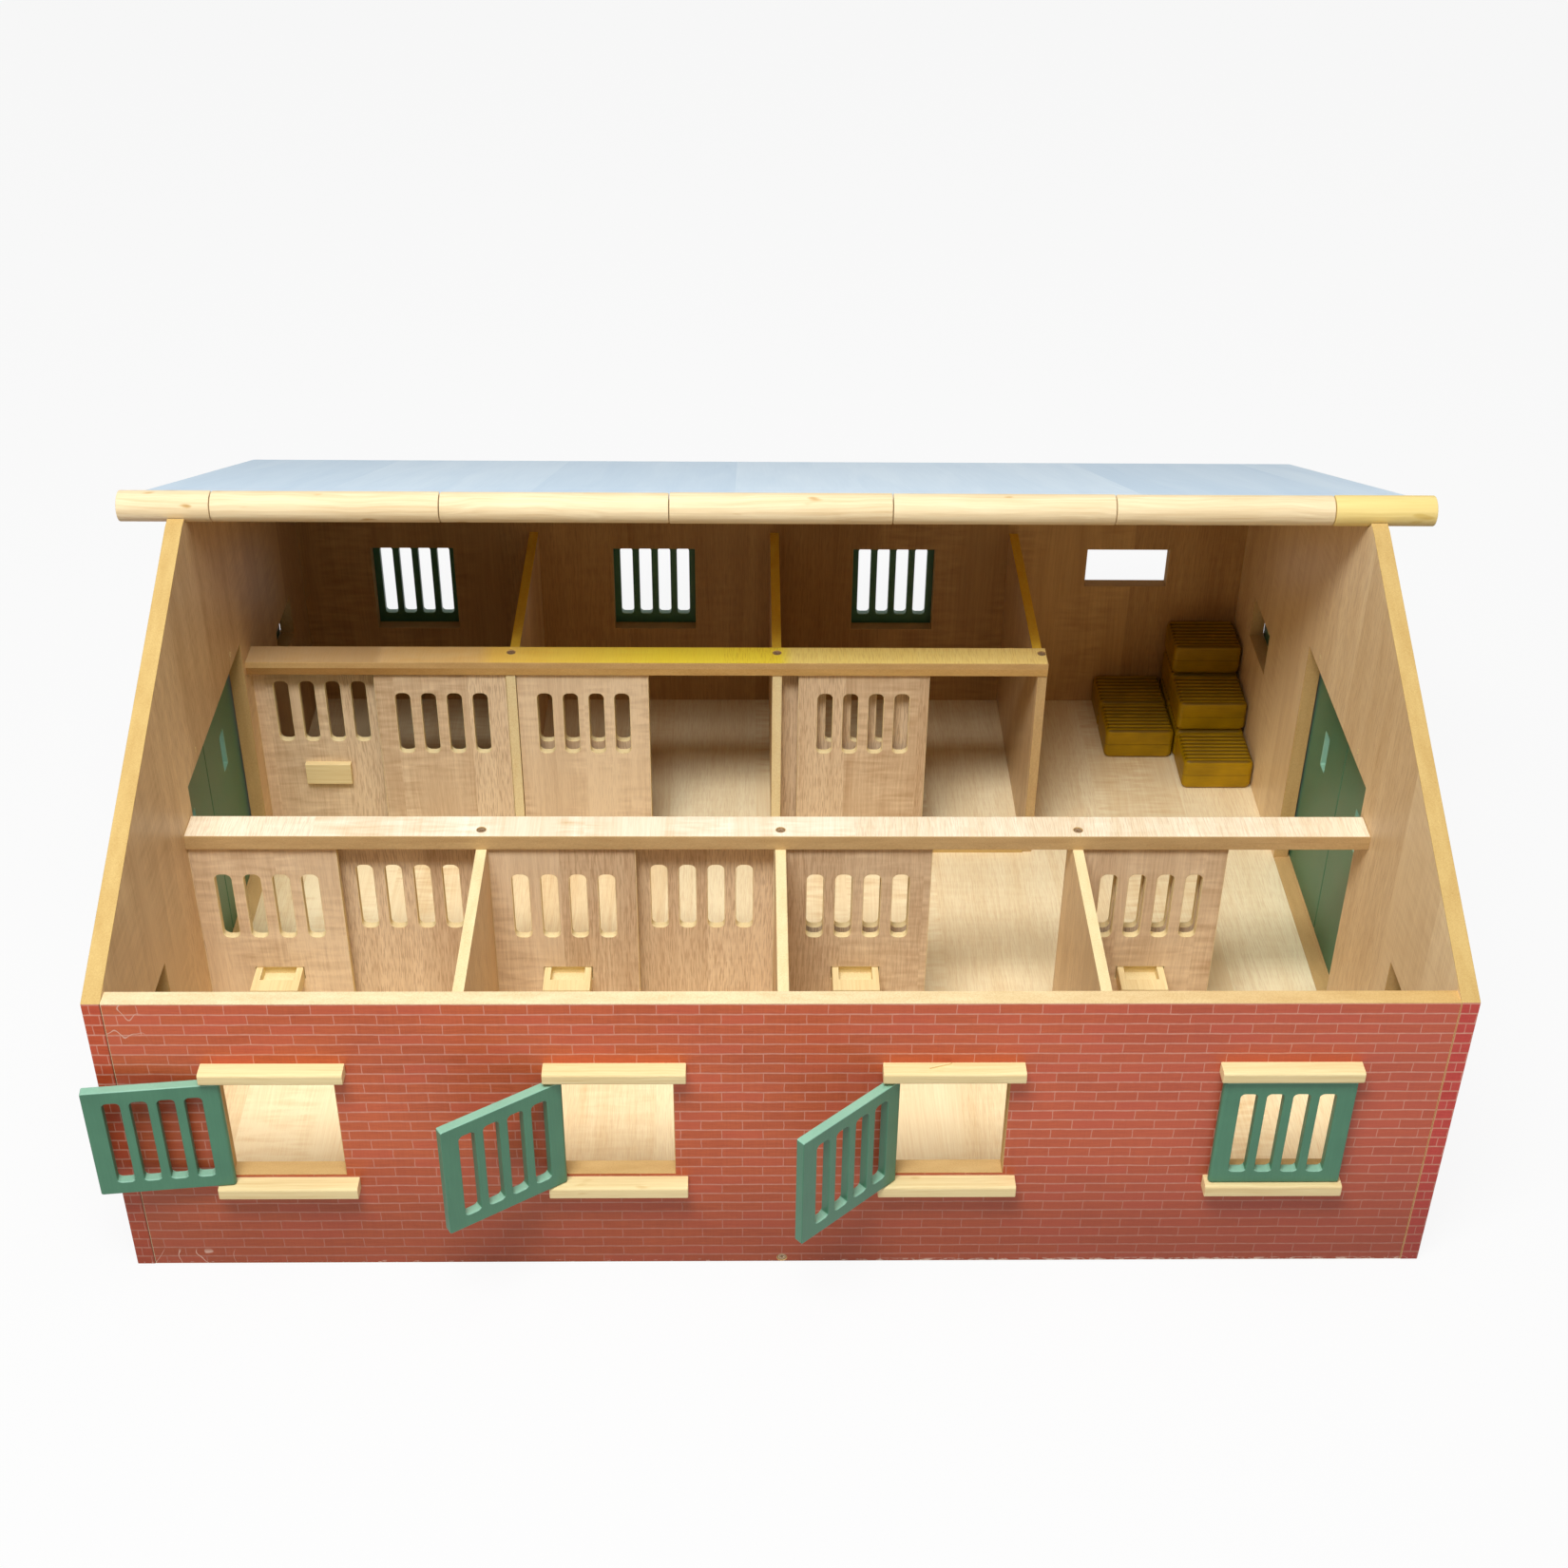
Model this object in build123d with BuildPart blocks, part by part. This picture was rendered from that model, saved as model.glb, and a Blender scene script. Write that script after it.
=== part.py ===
from build123d import *

import os
from math import atan2, cos, degrees, hypot, pi, radians, sin, tan

# Toy horse barn: seven stalls along an aisle, a straw store, barred shutters and sliding doors.
# Millimetres, +Z up. The origin is the centre of the underside, and the open front faces -Y.
# The many small rounds are drawn with a few flats each, so that the whole barn stays light.

# ---- flats in a small round ----
corner_flats = 3
pin_sides = 12

# ---- shell ----
body_w = 675.0
body_d = 543.2
board_t = 9.3
floor_t = 5.0
eave_h = 178.9
ridge_h = 296.6
apex_round = 6.0

# ---- roof ----
roof_overhang = 27.5
roof_eave_overhang = 46.9
roof_t = 9.0
roof_setback = 5.9
nosing_r = 8.6
nosing_gap = 0.4

# ---- aisle, beams and partitions ----
aisle_w = 160.0
aisle_shift = 1.3
beam_w = 19.3
beam_t = 9.0
beam_under_h = 142.5
partition_t = 6.0
partition_setback = 1.0
bays = 4

# ---- stall fronts ----
panel_lap = 4.4
panel_t = 4.6
panel_slots = 4
panel_slot_w = 9.5
panel_slot_h = 45.0
panel_slot_pitch = 16.1
panel_slot_round = 3.6
front_fixed_slot_h = 100.5
front_door_slot_h = 100.0
rear_fixed_slot_h = 107.5
rear_door_slot_h = 105.0
groove_lip = 2.1
groove_play = 0.4
beam_groove = 5.0
door_engage = 4.2
door_end_gap = 0.3
door_ajar = 10.5
rail_h = 6.0
rail_groove = 3.0
rail_play = 0.2

# ---- feed troughs ----
trough_w = 27.0
trough_reach = 20.0
trough_side = 4.8
trough_front = 4.4
trough_front_chamfer = 0.8
trough_h = 8.2
trough_floor = 3.2
trough_drop = 45.0
trough_notch_gap = 0.4
trough_board_w = 29.0
trough_board_h = 15.0
trough_board_t = 4.5
trough_door_gap = 0.5

# ---- windows and doorways ----
window_spread = 1.5
window_w = 57.0
window_h = 64.5
window_sill_h = 65.0
hatch_w = 57.5
hatch_h = 29.2
hatch_sill_h = 100.8
hatch_shift = 1.4
side_window_w = 50.0
side_window_h = 30.0
side_window_sill_h = 88.5
side_window_in = 78.6
doorway_jamb = 4.7
doorway_below_eave = 11.2

# ---- shutters, side doors and their wooden sticks ----
leaf_t = 5.0
leaf_side_lap = 4.8
side_leaf_lap = 5.6
leaf_top_lap = 2.7
leaf_foot_lap = 1.4
leaf_corner = 2.5
leaf_hinge_chamfer = 1.8
shutter_stile = 8.6
shutter_rail = 7.8
shutter_bar = 4.55
shutter_slots = 4
door_side_lap = 6.4
door_middle_gap = 1.0
grip_w = 10.0
grip_h = 25.0
grip_z = 100.0
grip_round = 1.0
lintel_gap = 1.8
sill_gap = 0.5
stick_d = 9.0
stick_chamfer = 0.8
stick_end_lap = 1.9
lintel_h = 6.8
sill_h = 7.6
door_stick_end_lap = 4.0
door_lintel_h = 7.3
pivot_in = 3.5
pivot_out = 3.65
pin_r = 0.8
pin_in_leaf = 6.0
pin_cover = 1.0
pin_turning_play = 0.06
pin_seat_play = 0.02

# Angles, from closed, at which the four front shutters stand.
front_open_angles = (174.0, 147.0, 138.0, 0.0)

# ---- straw bales ----
bale_w = 47.5
bale_d = 36.8
bale_h = 22.9
bale_round = 4.0
bale_gap = 0.35
bale_stack_gap = 0.1
bale_column_gap = 1.0
bale_wall_gap = 1.15

# ---- worked out from the above ----
inner_w = body_w - 2 * board_t
inner_d = body_d - 2 * board_t
front_y = -body_d / 2
rear_y = body_d / 2
slope = atan2(ridge_h - eave_h, body_d / 2)
roof_w = body_w + 2 * roof_overhang
roof_run = hypot(ridge_h - eave_h, body_d / 2) - roof_setback + roof_eave_overhang
nosing_y = roof_setback * cos(slope) + roof_t / 2 * sin(slope)
nosing_z = ridge_h - roof_setback * sin(slope) + roof_t / 2 * cos(slope)
bay_w = (inner_w - (bays - 1) * partition_t) / bays
bay_pitch = bay_w + partition_t
bay_lefts = [-inner_w / 2 + i * bay_pitch for i in range(bays)]
partition_xs = [left - partition_t / 2 for left in bay_lefts[1:]]
window_pitch = bay_pitch + window_spread
window_xs = [(i - (bays - 1) / 2) * window_pitch for i in range(bays)]
panel_w = (bay_w + panel_lap) / 2
rail_top = floor_t + rail_h
groove_w = panel_t + 2 * groove_play
door_inset = groove_lip + groove_play
door_foot = rail_top - rail_groove + rail_play
door_head = beam_under_h + door_engage
fixed_inset = door_inset + panel_t + trough_door_gap + trough_board_t
door_shut = bay_w - panel_w - door_end_gap
shutter_w = window_w + 2 * leaf_side_lap
side_shutter_w = side_window_w + 2 * side_leaf_lap
doorway_w = aisle_w - 2 * doorway_jamb
doorway_h = eave_h - doorway_below_eave - floor_t
door_leaf_w = doorway_w / 2 + door_side_lap - door_middle_gap / 2
door_leaf_y = (door_leaf_w + door_middle_gap) / 2
side_window_y = body_d / 2 - side_window_in

# Each outer wall face as seen from outside: x to the right, y up, z outwards.
wall_faces = {
    "front": Plane((0, front_y, 0), x_dir=(1, 0, 0), z_dir=(0, -1, 0)),
    "rear": Plane((0, rear_y, 0), x_dir=(-1, 0, 0), z_dir=(0, 1, 0)),
    "right": Plane((body_w / 2, -aisle_shift, 0), x_dir=(0, 1, 0), z_dir=(1, 0, 0)),
    "left": Plane((-body_w / 2, -aisle_shift, 0), x_dir=(0, -1, 0), z_dir=(-1, 0, 0)),
}


class Row:
    """One row of stalls: what differs between the front and the rear side of the aisle."""

    def __init__(self, side, stalls, fixed_slot_h, door_slot_h, door_offsets):
        self.side = side
        self.edge_y = -aisle_shift + side * aisle_w / 2
        self.lefts = bay_lefts[:stalls]
        self.beam_end = bay_lefts[stalls - 1] + bay_w + (0 if stalls == bays else partition_t)
        self.fixed_slot_h = fixed_slot_h
        self.door_slot_h = door_slot_h
        self.door_offsets = door_offsets

    def y(self, inset):
        """Y of a face that lies inset from the aisle edge of the row's beam."""
        return self.edge_y + self.side * inset

    def board_face(self, inset):
        """Lower-Y face of a panel whose aisle side lies inset from the aisle edge."""
        return Plane.XZ.offset(-min(self.y(inset), self.y(inset + panel_t)))


front_doors = (door_shut, door_shut, door_end_gap, door_end_gap)
rear_doors = (door_shut, door_end_gap, door_ajar)
front_row = Row(-1, bays, front_fixed_slot_h, front_door_slot_h, front_doors)
rear_row = Row(1, bays - 1, rear_fixed_slot_h, rear_door_slot_h, rear_doors)


class Leaf:
    """A leaf hinged on a wall face; side is -1 for a hinge on the left as seen from outside."""

    def __init__(self, wall, x, width, foot, head, side, sill, lintel, angle=0.0):
        self.wall = wall
        self.x = x
        self.width = width
        self.foot = foot
        self.head = head
        self.side = side
        self.sill = sill
        self.lintel = lintel
        self.angle = angle

    def axis(self):
        """Where the hinge axis crosses the leaf's lower end."""
        local_x = self.x + self.side * (self.width / 2 - pivot_in)
        return wall_faces[self.wall].from_local_coords(Vector(local_x, self.foot, pivot_out))

    def middle_plane(self):
        """Through the leaf's middle: x from the hinge axis to the free edge, y up."""
        face = wall_faces[self.wall]
        turn = radians(self.angle)
        along = face.x_dir * (-self.side * cos(turn)) + face.z_dir * sin(turn)
        return Plane(self.axis(), x_dir=along, z_dir=along.cross(Vector(0, 0, 1)))

    def pin_spans(self):
        """Lower end and length of the lower and of the upper pin."""
        sunk = self.foot - sill_gap - self.sill + pin_cover
        raised = self.head + lintel_gap + self.lintel - pin_cover
        low = self.head - pin_in_leaf
        return [(sunk, self.foot + pin_in_leaf - sunk), (low, raised - low)]


def window_leaf(wall, x, side, angle=0.0):
    foot = window_sill_h - leaf_foot_lap
    head = window_sill_h + window_h + leaf_top_lap
    return Leaf(wall, x, shutter_w, foot, head, side, sill_h, lintel_h, angle)


def side_window_leaf(wall, x, side):
    foot = side_window_sill_h - leaf_foot_lap
    head = side_window_sill_h + side_window_h + leaf_top_lap
    return Leaf(wall, x, side_shutter_w, foot, head, side, sill_h, lintel_h)


def doorway_leaf(wall, side):
    foot = floor_t + sill_gap
    head = floor_t + doorway_h + leaf_top_lap
    return Leaf(wall, side * door_leaf_y, door_leaf_w, foot, head, side, floor_t, door_lintel_h)


front_leaves = [window_leaf("front", x, -1, turn) for x, turn in zip(window_xs, front_open_angles)]
rear_leaves = [window_leaf("rear", -x, -1) for x in window_xs[:-1]]
side_leaves = [
    side_window_leaf(wall, side * side_window_y, side) for wall in ("left", "right") for side in (-1, 1)
]
door_leaves = [doorway_leaf(wall, side) for wall in ("left", "right") for side in (-1, 1)]
all_leaves = front_leaves + rear_leaves + side_leaves + door_leaves


def draw_soft_rectangle(width, height, radius, mode=Mode.ADD):
    """Draws a rectangle in the open sketch, each corner rounded by a few flats."""
    turns = [i * pi / 2 / corner_flats for i in range(corner_flats + 1)]
    corner = [(width / 2 - radius + radius * cos(t), height / 2 - radius + radius * sin(t)) for t in turns]
    top = corner + [(-x, y) for x, y in reversed(corner)]
    Polygon(*top, *[(-x, -y) for x, y in top], align=None, mode=mode)


# ---------------------------------------------------------------- shell and roof
def make_floor():
    with BuildPart() as floor:
        with BuildSketch():
            Rectangle(inner_w, inner_d)
        extrude(amount=floor_t)
    return floor.part


def make_front_wall():
    with BuildPart() as wall:
        with BuildSketch(wall_faces["front"]):
            with Locations((0, eave_h / 2)):
                Rectangle(inner_w, eave_h)
            with Locations([(x, window_sill_h + window_h / 2) for x in window_xs]):
                Rectangle(window_w, window_h, mode=Mode.SUBTRACT)
        extrude(amount=-board_t)
    return wall.part


def make_rear_wall():
    """Bevelled to the roof slope; the last bay has a low plain hatch instead of a window."""
    hatch_x = bay_lefts[-1] + bay_w / 2 - hatch_shift
    with BuildPart() as wall:
        with BuildSketch(Plane.YZ.offset(-inner_w / 2)):
            with BuildLine():
                bevel_top = eave_h + board_t * tan(slope)
                Polyline(
                    (rear_y - board_t, 0),
                    (rear_y, 0),
                    (rear_y, eave_h),
                    (rear_y - board_t, bevel_top),
                    close=True,
                )
            make_face()
        extrude(amount=inner_w)
        with BuildSketch(wall_faces["rear"]):
            with Locations([(-x, window_sill_h + window_h / 2) for x in window_xs[:-1]]):
                Rectangle(window_w, window_h)
            with Locations((-hatch_x, hatch_sill_h + hatch_h / 2)):
                Rectangle(hatch_w, hatch_h)
        extrude(amount=-board_t, mode=Mode.SUBTRACT)
    return wall.part


def make_side_wall(side):
    """A gable board whose ridge is hollowed under the half-round nosing of the roof."""
    with BuildPart() as wall:
        with BuildSketch(Plane.YZ.offset(side * body_w / 2)) as gable:
            with BuildLine():
                Polyline(
                    (front_y, 0),
                    (rear_y, 0),
                    (rear_y, eave_h),
                    (0, ridge_h),
                    (front_y, eave_h),
                    close=True,
                )
            make_face()
            with BuildLine():
                hollow_r = nosing_r + nosing_gap
                hollow = CenterArc((nosing_y, nosing_z), hollow_r, 90 - degrees(slope), 180)
                Line(hollow @ 0, hollow @ 1)
            make_face(mode=Mode.SUBTRACT)
            fillet(gable.vertices().sort_by(Axis.Y)[-1], apex_round)
            with Locations((-aisle_shift, floor_t + doorway_h / 2)):
                Rectangle(doorway_w, doorway_h, mode=Mode.SUBTRACT)
            with Locations((-aisle_shift, side_window_sill_h + side_window_h / 2)):
                with GridLocations(2 * side_window_y, 1, 2, 1):
                    Rectangle(side_window_w, side_window_h, mode=Mode.SUBTRACT)
        extrude(amount=-side * board_t)
    return wall.part


def make_roof_panel():
    rear_slope = Plane((0, 0, ridge_h), x_dir=(1, 0, 0), z_dir=(0, sin(slope), cos(slope)))
    with BuildPart() as roof:
        with BuildSketch(rear_slope):
            with Locations((0, roof_setback + roof_run / 2)):
                Rectangle(roof_w, roof_run)
        extrude(amount=roof_t)
    return roof.part


def make_roof_nosing():
    """Half-round stick glued along the upper edge of the roof panel."""
    with BuildPart() as nosing:
        with BuildSketch(Plane.YZ.offset(-roof_w / 2)):
            with BuildLine():
                bow = CenterArc((nosing_y, nosing_z), nosing_r, 90 - degrees(slope), 180)
                Line(bow @ 0, bow @ 1)
            make_face()
        extrude(amount=roof_w)
    return nosing.part


# ---------------------------------------------------------------- beams, rails, partitions
def make_beam(row):
    """A lath over the row's partitions, grooved underneath for the sliding doors."""
    length = row.beam_end + inner_w / 2
    mid_x = (row.beam_end - inner_w / 2) / 2
    with BuildPart() as beam:
        with BuildSketch(Plane.XY.offset(beam_under_h)):
            with Locations((mid_x, row.y(beam_w / 2))):
                Rectangle(length, beam_w)
        extrude(amount=beam_t)
        with BuildSketch(Plane.XY.offset(beam_under_h)):
            with Locations((mid_x, row.y(groove_lip + groove_w / 2))):
                Rectangle(length, groove_w)
        extrude(amount=beam_groove, mode=Mode.SUBTRACT)
    return beam.part


def make_rails(row):
    """One grooved strip on the floor of each stall for its door to run in."""
    with BuildPart() as rails:
        with BuildSketch(Plane.XY.offset(floor_t)):
            with Locations([(left + bay_w / 2, row.y(beam_w / 2)) for left in row.lefts]):
                Rectangle(bay_w, beam_w)
        extrude(amount=rail_h)
        with BuildSketch(Plane.XY.offset(rail_top)):
            with Locations([(left + bay_w / 2, row.y(groove_lip + groove_w / 2)) for left in row.lefts]):
                Rectangle(bay_w, groove_w)
        extrude(amount=-rail_groove, mode=Mode.SUBTRACT)
    return rails.part


def make_partition(row, x):
    wall_y = row.side * inner_d / 2
    aisle_y = row.y(partition_setback)
    with BuildPart() as partition:
        with BuildSketch(Plane.XY.offset(floor_t)):
            with Locations((x, (wall_y + aisle_y) / 2)):
                Rectangle(partition_t, abs(wall_y - aisle_y))
        extrude(amount=beam_under_h - floor_t)
    return partition.part


# ---------------------------------------------------------------- stall fronts
def draw_panel(left_x, foot, head, slot_h):
    """Draws a board with four round-cornered slots in the sketch that is open."""
    mid_x = left_x + panel_w / 2
    with Locations((mid_x, (foot + head) / 2)):
        Rectangle(panel_w, head - foot)
    with Locations((mid_x, slot_h)):
        with GridLocations(panel_slot_pitch, 1, panel_slots, 1):
            draw_soft_rectangle(panel_slot_w, panel_slot_h, panel_slot_round, Mode.SUBTRACT)


def make_fixed_panel(row, left_x):
    """The left half of a stall front, notched for its feed trough."""
    trough_mid = row.fixed_slot_h - trough_drop - trough_h / 2
    with BuildPart() as panel:
        with BuildSketch(row.board_face(fixed_inset)):
            draw_panel(left_x, rail_top, beam_under_h, row.fixed_slot_h)
            with Locations((left_x + panel_w / 2, trough_mid)):
                notch_w = trough_w + 2 * trough_notch_gap
                notch_h = trough_h + 2 * trough_notch_gap
                Rectangle(notch_w, notch_h, mode=Mode.SUBTRACT)
        extrude(amount=-panel_t)
    return panel.part


def make_stall_door(row, left_x):
    with BuildPart() as door:
        with BuildSketch(row.board_face(door_inset)):
            draw_panel(left_x, door_foot, door_head, row.door_slot_h)
        extrude(amount=-panel_t)
    return door.part


def make_troughs(row):
    """Small trays that stand through the fixed panels, each behind a wider board."""
    foot = row.fixed_slot_h - trough_drop - trough_h
    mids = [left + panel_w / 2 for left in row.lefts]
    tray_run = panel_t + trough_reach
    hollow_run = tray_run - trough_front
    with BuildPart() as troughs:
        with BuildSketch(Plane.XY.offset(foot)):
            with Locations([(x, row.y(fixed_inset + tray_run / 2)) for x in mids]):
                Rectangle(trough_w, tray_run)
        extrude(amount=trough_h)
        with BuildSketch(Plane.XY.offset(foot + trough_floor)):
            with Locations([(x, row.y(fixed_inset + hollow_run / 2)) for x in mids]):
                Rectangle(trough_w - 2 * trough_side, hollow_run)
        extrude(amount=trough_h - trough_floor, mode=Mode.SUBTRACT)
        rims = troughs.edges().filter_by(Axis.X).group_by(Axis.Z)[-1]
        chamfer(rims.group_by(Axis.Y)[0 if row.side < 0 else -1], trough_front_chamfer)
        with BuildSketch(Plane.XY.offset(foot)):
            with Locations([(x, row.y(fixed_inset - trough_board_t / 2)) for x in mids]):
                Rectangle(trough_board_w, trough_board_t)
        extrude(amount=trough_board_h)
    return troughs.part


# ---------------------------------------------------------------- shutters and side doors
def pin_places(leaves, play):
    """Plane at the lower end and length of every pin of the leaves, play longer at both ends."""
    places = []
    for leaf in leaves:
        for low, length in leaf.pin_spans():
            places.append((Plane((leaf.axis().X, leaf.axis().Y, low - play)), length + 2 * play))
    return places


def make_leaf(leaf, slots, slot_w, slot_h, slot_foot, slot_round):
    """Flat board on two pins, bevelled along its hinge edge so that it turns clear of the wall."""
    plane = leaf.middle_plane()
    height = leaf.head - leaf.foot
    mid_x = leaf.width / 2 - pivot_in
    with BuildPart() as board:
        with BuildSketch(plane):
            with Locations((mid_x, height / 2)):
                draw_soft_rectangle(leaf.width, height, leaf_corner)
            with Locations((0, height / 2)):
                Rectangle(2 * pivot_in, height)
            with Locations((mid_x, slot_foot + slot_h / 2)):
                with GridLocations(slot_w + shutter_bar, 1, slots, 1):
                    draw_soft_rectangle(slot_w, slot_h, slot_round, Mode.SUBTRACT)
        extrude(amount=leaf_t / 2, both=True)
        hinge_edges = board.edges().filter_by(Axis.Z).sort_by_distance(plane.origin)[:2]
        chamfer(hinge_edges, leaf_hinge_chamfer)
        for place, length in pin_places([leaf], pin_turning_play):
            with BuildSketch(place):
                RegularPolygon(pin_r + pin_turning_play, pin_sides, major_radius=False)
            extrude(amount=length, mode=Mode.SUBTRACT)
    return board.part


def make_shutter(leaf):
    bars_w = (shutter_slots - 1) * shutter_bar
    slot_w = (leaf.width - 2 * shutter_stile - bars_w) / shutter_slots
    slot_h = leaf.head - leaf.foot - 2 * shutter_rail
    return make_leaf(leaf, shutter_slots, slot_w, slot_h, shutter_rail, leaf_corner)


def make_door_leaf(leaf):
    return make_leaf(leaf, 1, grip_w, grip_h, grip_z - leaf.foot, grip_round)


def lay_sticks(face, x, length, foot, height):
    """Adds one stick on a wall face."""
    place = Plane(face.from_local_coords(Vector(x, foot, 0)), x_dir=face.x_dir, z_dir=face.z_dir)
    with Locations(place):
        Box(length, height, stick_d, align=(Align.CENTER, Align.MIN, Align.MIN))


def make_sticks(wall):
    """The lintels and sills of one wall, their outer edges broken, bored for the hinge pins."""
    face = wall_faces[wall]
    leaves = [leaf for leaf in all_leaves if leaf.wall == wall]
    with BuildPart() as sticks:
        for leaf in leaves:
            if leaf in door_leaves:
                continue
            length = leaf.width + 2 * stick_end_lap
            lay_sticks(face, leaf.x, length, leaf.foot - sill_gap - leaf.sill, leaf.sill)
            lay_sticks(face, leaf.x, length, leaf.head + lintel_gap, leaf.lintel)
        if wall in ("left", "right"):
            length = doorway_w + 2 * (door_side_lap + door_stick_end_lap)
            lay_sticks(face, 0, length, 0, floor_t)
            lintel_foot = floor_t + doorway_h + leaf_top_lap + lintel_gap
            lay_sticks(face, 0, length, lintel_foot, door_lintel_h)
        long_edges = sticks.edges().filter_by(Axis(face.origin, face.x_dir))
        chamfer(long_edges.group_by(Axis(face.origin, face.z_dir))[-1], stick_chamfer)
        for place, length in pin_places(leaves, pin_seat_play):
            with BuildSketch(place):
                RegularPolygon(pin_r + pin_seat_play, pin_sides, major_radius=False)
            extrude(amount=length, mode=Mode.SUBTRACT)
    return sticks.part


def make_hinge_pins():
    """Two short steel pins for each leaf, one up into its foot and one down into its head."""
    with BuildPart() as pins:
        for place, length in pin_places(all_leaves, 0):
            with BuildSketch(place):
                RegularPolygon(pin_r, pin_sides)
            extrude(amount=length)
    return pins.part


# ---------------------------------------------------------------- small pieces
def make_bales(column_x, stacks):
    """Straw bales in one column; stacks says how many lie on each other, from the rear."""
    with BuildPart() as bales:
        for place, count in enumerate(stacks):
            back = inner_d / 2 - bale_gap - place * (bale_d + bale_gap)
            for level in range(count):
                with BuildSketch(Plane.XZ.offset(-back)):
                    with Locations((column_x, floor_t + bale_h / 2 + level * (bale_h + bale_stack_gap))):
                        draw_soft_rectangle(bale_w, bale_h, bale_round)
                extrude(amount=bale_d)
    return bales.part


# ---------------------------------------------------------------- all the sub-parts
def save(part, name):
    """Labels one finished sub-part and writes its file."""
    part.label = name
    export_step(part, f"parts/{name}.step")


os.makedirs("parts", exist_ok=True)

save(make_floor(), "floor")
save(make_front_wall(), "wall_front")
save(make_rear_wall(), "wall_rear")
save(make_side_wall(-1), "wall_left")
save(make_side_wall(1), "wall_right")
save(make_roof_panel(), "roof_panel")
save(make_roof_nosing(), "roof_nosing")

for row, name in ((front_row, "front"), (rear_row, "rear")):
    save(make_beam(row), f"beam_{name}")
    save(make_rails(row), f"rails_{name}")
    save(make_troughs(row), f"troughs_{name}")
    for number, x in enumerate(partition_xs, 1):
        save(make_partition(row, x), f"partition_{name}_{number}")
    for number, left in enumerate(row.lefts, 1):
        save(make_fixed_panel(row, left), f"fixed_panel_{name}_{number}")
    for number, offset in enumerate(row.door_offsets, 1):
        save(make_stall_door(row, row.lefts[number - 1] + offset), f"stall_door_{name}_{number}")

for number, leaf in enumerate(front_leaves, 1):
    save(make_shutter(leaf), f"shutter_front_{number}")
for number, leaf in enumerate(rear_leaves, 1):
    save(make_shutter(leaf), f"shutter_rear_{number}")
for leaf in side_leaves:
    place = "rear" if leaf.x * wall_faces[leaf.wall].x_dir.Y > 0 else "front"
    save(make_shutter(leaf), f"shutter_{leaf.wall}_{place}")
for leaf in door_leaves:
    place = "rear" if leaf.x * wall_faces[leaf.wall].x_dir.Y > 0 else "front"
    save(make_door_leaf(leaf), f"side_door_{leaf.wall}_{place}")
for wall in wall_faces:
    save(make_sticks(wall), f"sticks_{wall}")

save(make_hinge_pins(), "hinge_pins")
right_column = inner_w / 2 - bale_wall_gap - bale_w / 2
left_column = right_column - bale_column_gap - bale_w
save(make_bales(left_column, (1, 1)), "straw_bales_left")
save(make_bales(right_column, (3, 2, 1)), "straw_bales_right")
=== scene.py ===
import math

import bmesh
import bpy
from mathutils import Matrix, Vector, noise
from mathutils.geometry import tessellate_polygon


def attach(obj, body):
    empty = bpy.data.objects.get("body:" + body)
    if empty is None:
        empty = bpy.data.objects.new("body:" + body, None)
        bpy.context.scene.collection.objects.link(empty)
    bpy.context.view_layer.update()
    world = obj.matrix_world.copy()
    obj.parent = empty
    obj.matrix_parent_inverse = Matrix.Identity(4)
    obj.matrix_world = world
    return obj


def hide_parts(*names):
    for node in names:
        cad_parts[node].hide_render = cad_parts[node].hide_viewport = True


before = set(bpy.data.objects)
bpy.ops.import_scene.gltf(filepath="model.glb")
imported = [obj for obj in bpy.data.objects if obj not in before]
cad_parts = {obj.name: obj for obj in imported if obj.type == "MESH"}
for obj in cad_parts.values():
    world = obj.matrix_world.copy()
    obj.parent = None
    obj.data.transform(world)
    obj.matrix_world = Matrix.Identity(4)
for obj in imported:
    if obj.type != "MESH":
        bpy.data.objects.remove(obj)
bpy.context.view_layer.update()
scene = bpy.context.scene

# Toy horse barn. Sizes are millimetres in the frame's axes until a mesh is written.
MM = 0.001
X, Y, Z = (1, 0, 0), (0, 1, 0), (0, 0, 1)

# ---- sizes ----
body_w, body_d, board_t, floor_t = 675.0, 543.2, 9.3, 5.0
eave_h, ridge_h = 178.9, 296.6
inner_w, inner_d = body_w - 2 * board_t, body_d - 2 * board_t
slope = math.atan2(ridge_h - eave_h, body_d / 2)

roof_w, roof_t, roof_setback, roof_eave_overhang = 730.0, 9.0, 5.9, 46.9
roof_run = math.hypot(ridge_h - eave_h, body_d / 2) - roof_setback + roof_eave_overhang
nosing_r, nosing_gap = 8.6, 0.4
nosing_y = roof_setback * math.cos(slope) + roof_t / 2 * math.sin(slope)
nosing_z = ridge_h - roof_setback * math.sin(slope) + roof_t / 2 * math.cos(slope)

aisle_w, aisle_y = 160.0, -1.3
beam_w, beam_t, beam_under = 19.3, 9.0, 142.5
partition_t = 6.0
bay_w = (inner_w - 3 * partition_t) / 4
bay_lefts = [-inner_w / 2 + i * (bay_w + partition_t) for i in range(4)]
partition_xs = [left - partition_t / 2 for left in bay_lefts[1:]]
screw_r, screw_inset, front_screw_z = 2.4, 12.8, 2.9

panel_w, panel_t = (bay_w + 4.4) / 2, 4.6
slot_w, slot_h, slot_pitch, slot_r = 9.5, 45.0, 16.1, 3.6
trough_w, trough_h, trough_drop, trough_out = 27.0, 8.2, 45.0, 20.0
rail_top = floor_t + 6.0
groove_from, groove_to = 2.1, 7.5
door_inset, fixed_inset = 2.5, 12.1
door_foot, door_head = rail_top - 2.8, beam_under + 4.2
door_shut, door_open = bay_w - panel_w - 0.3, 0.3

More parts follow.
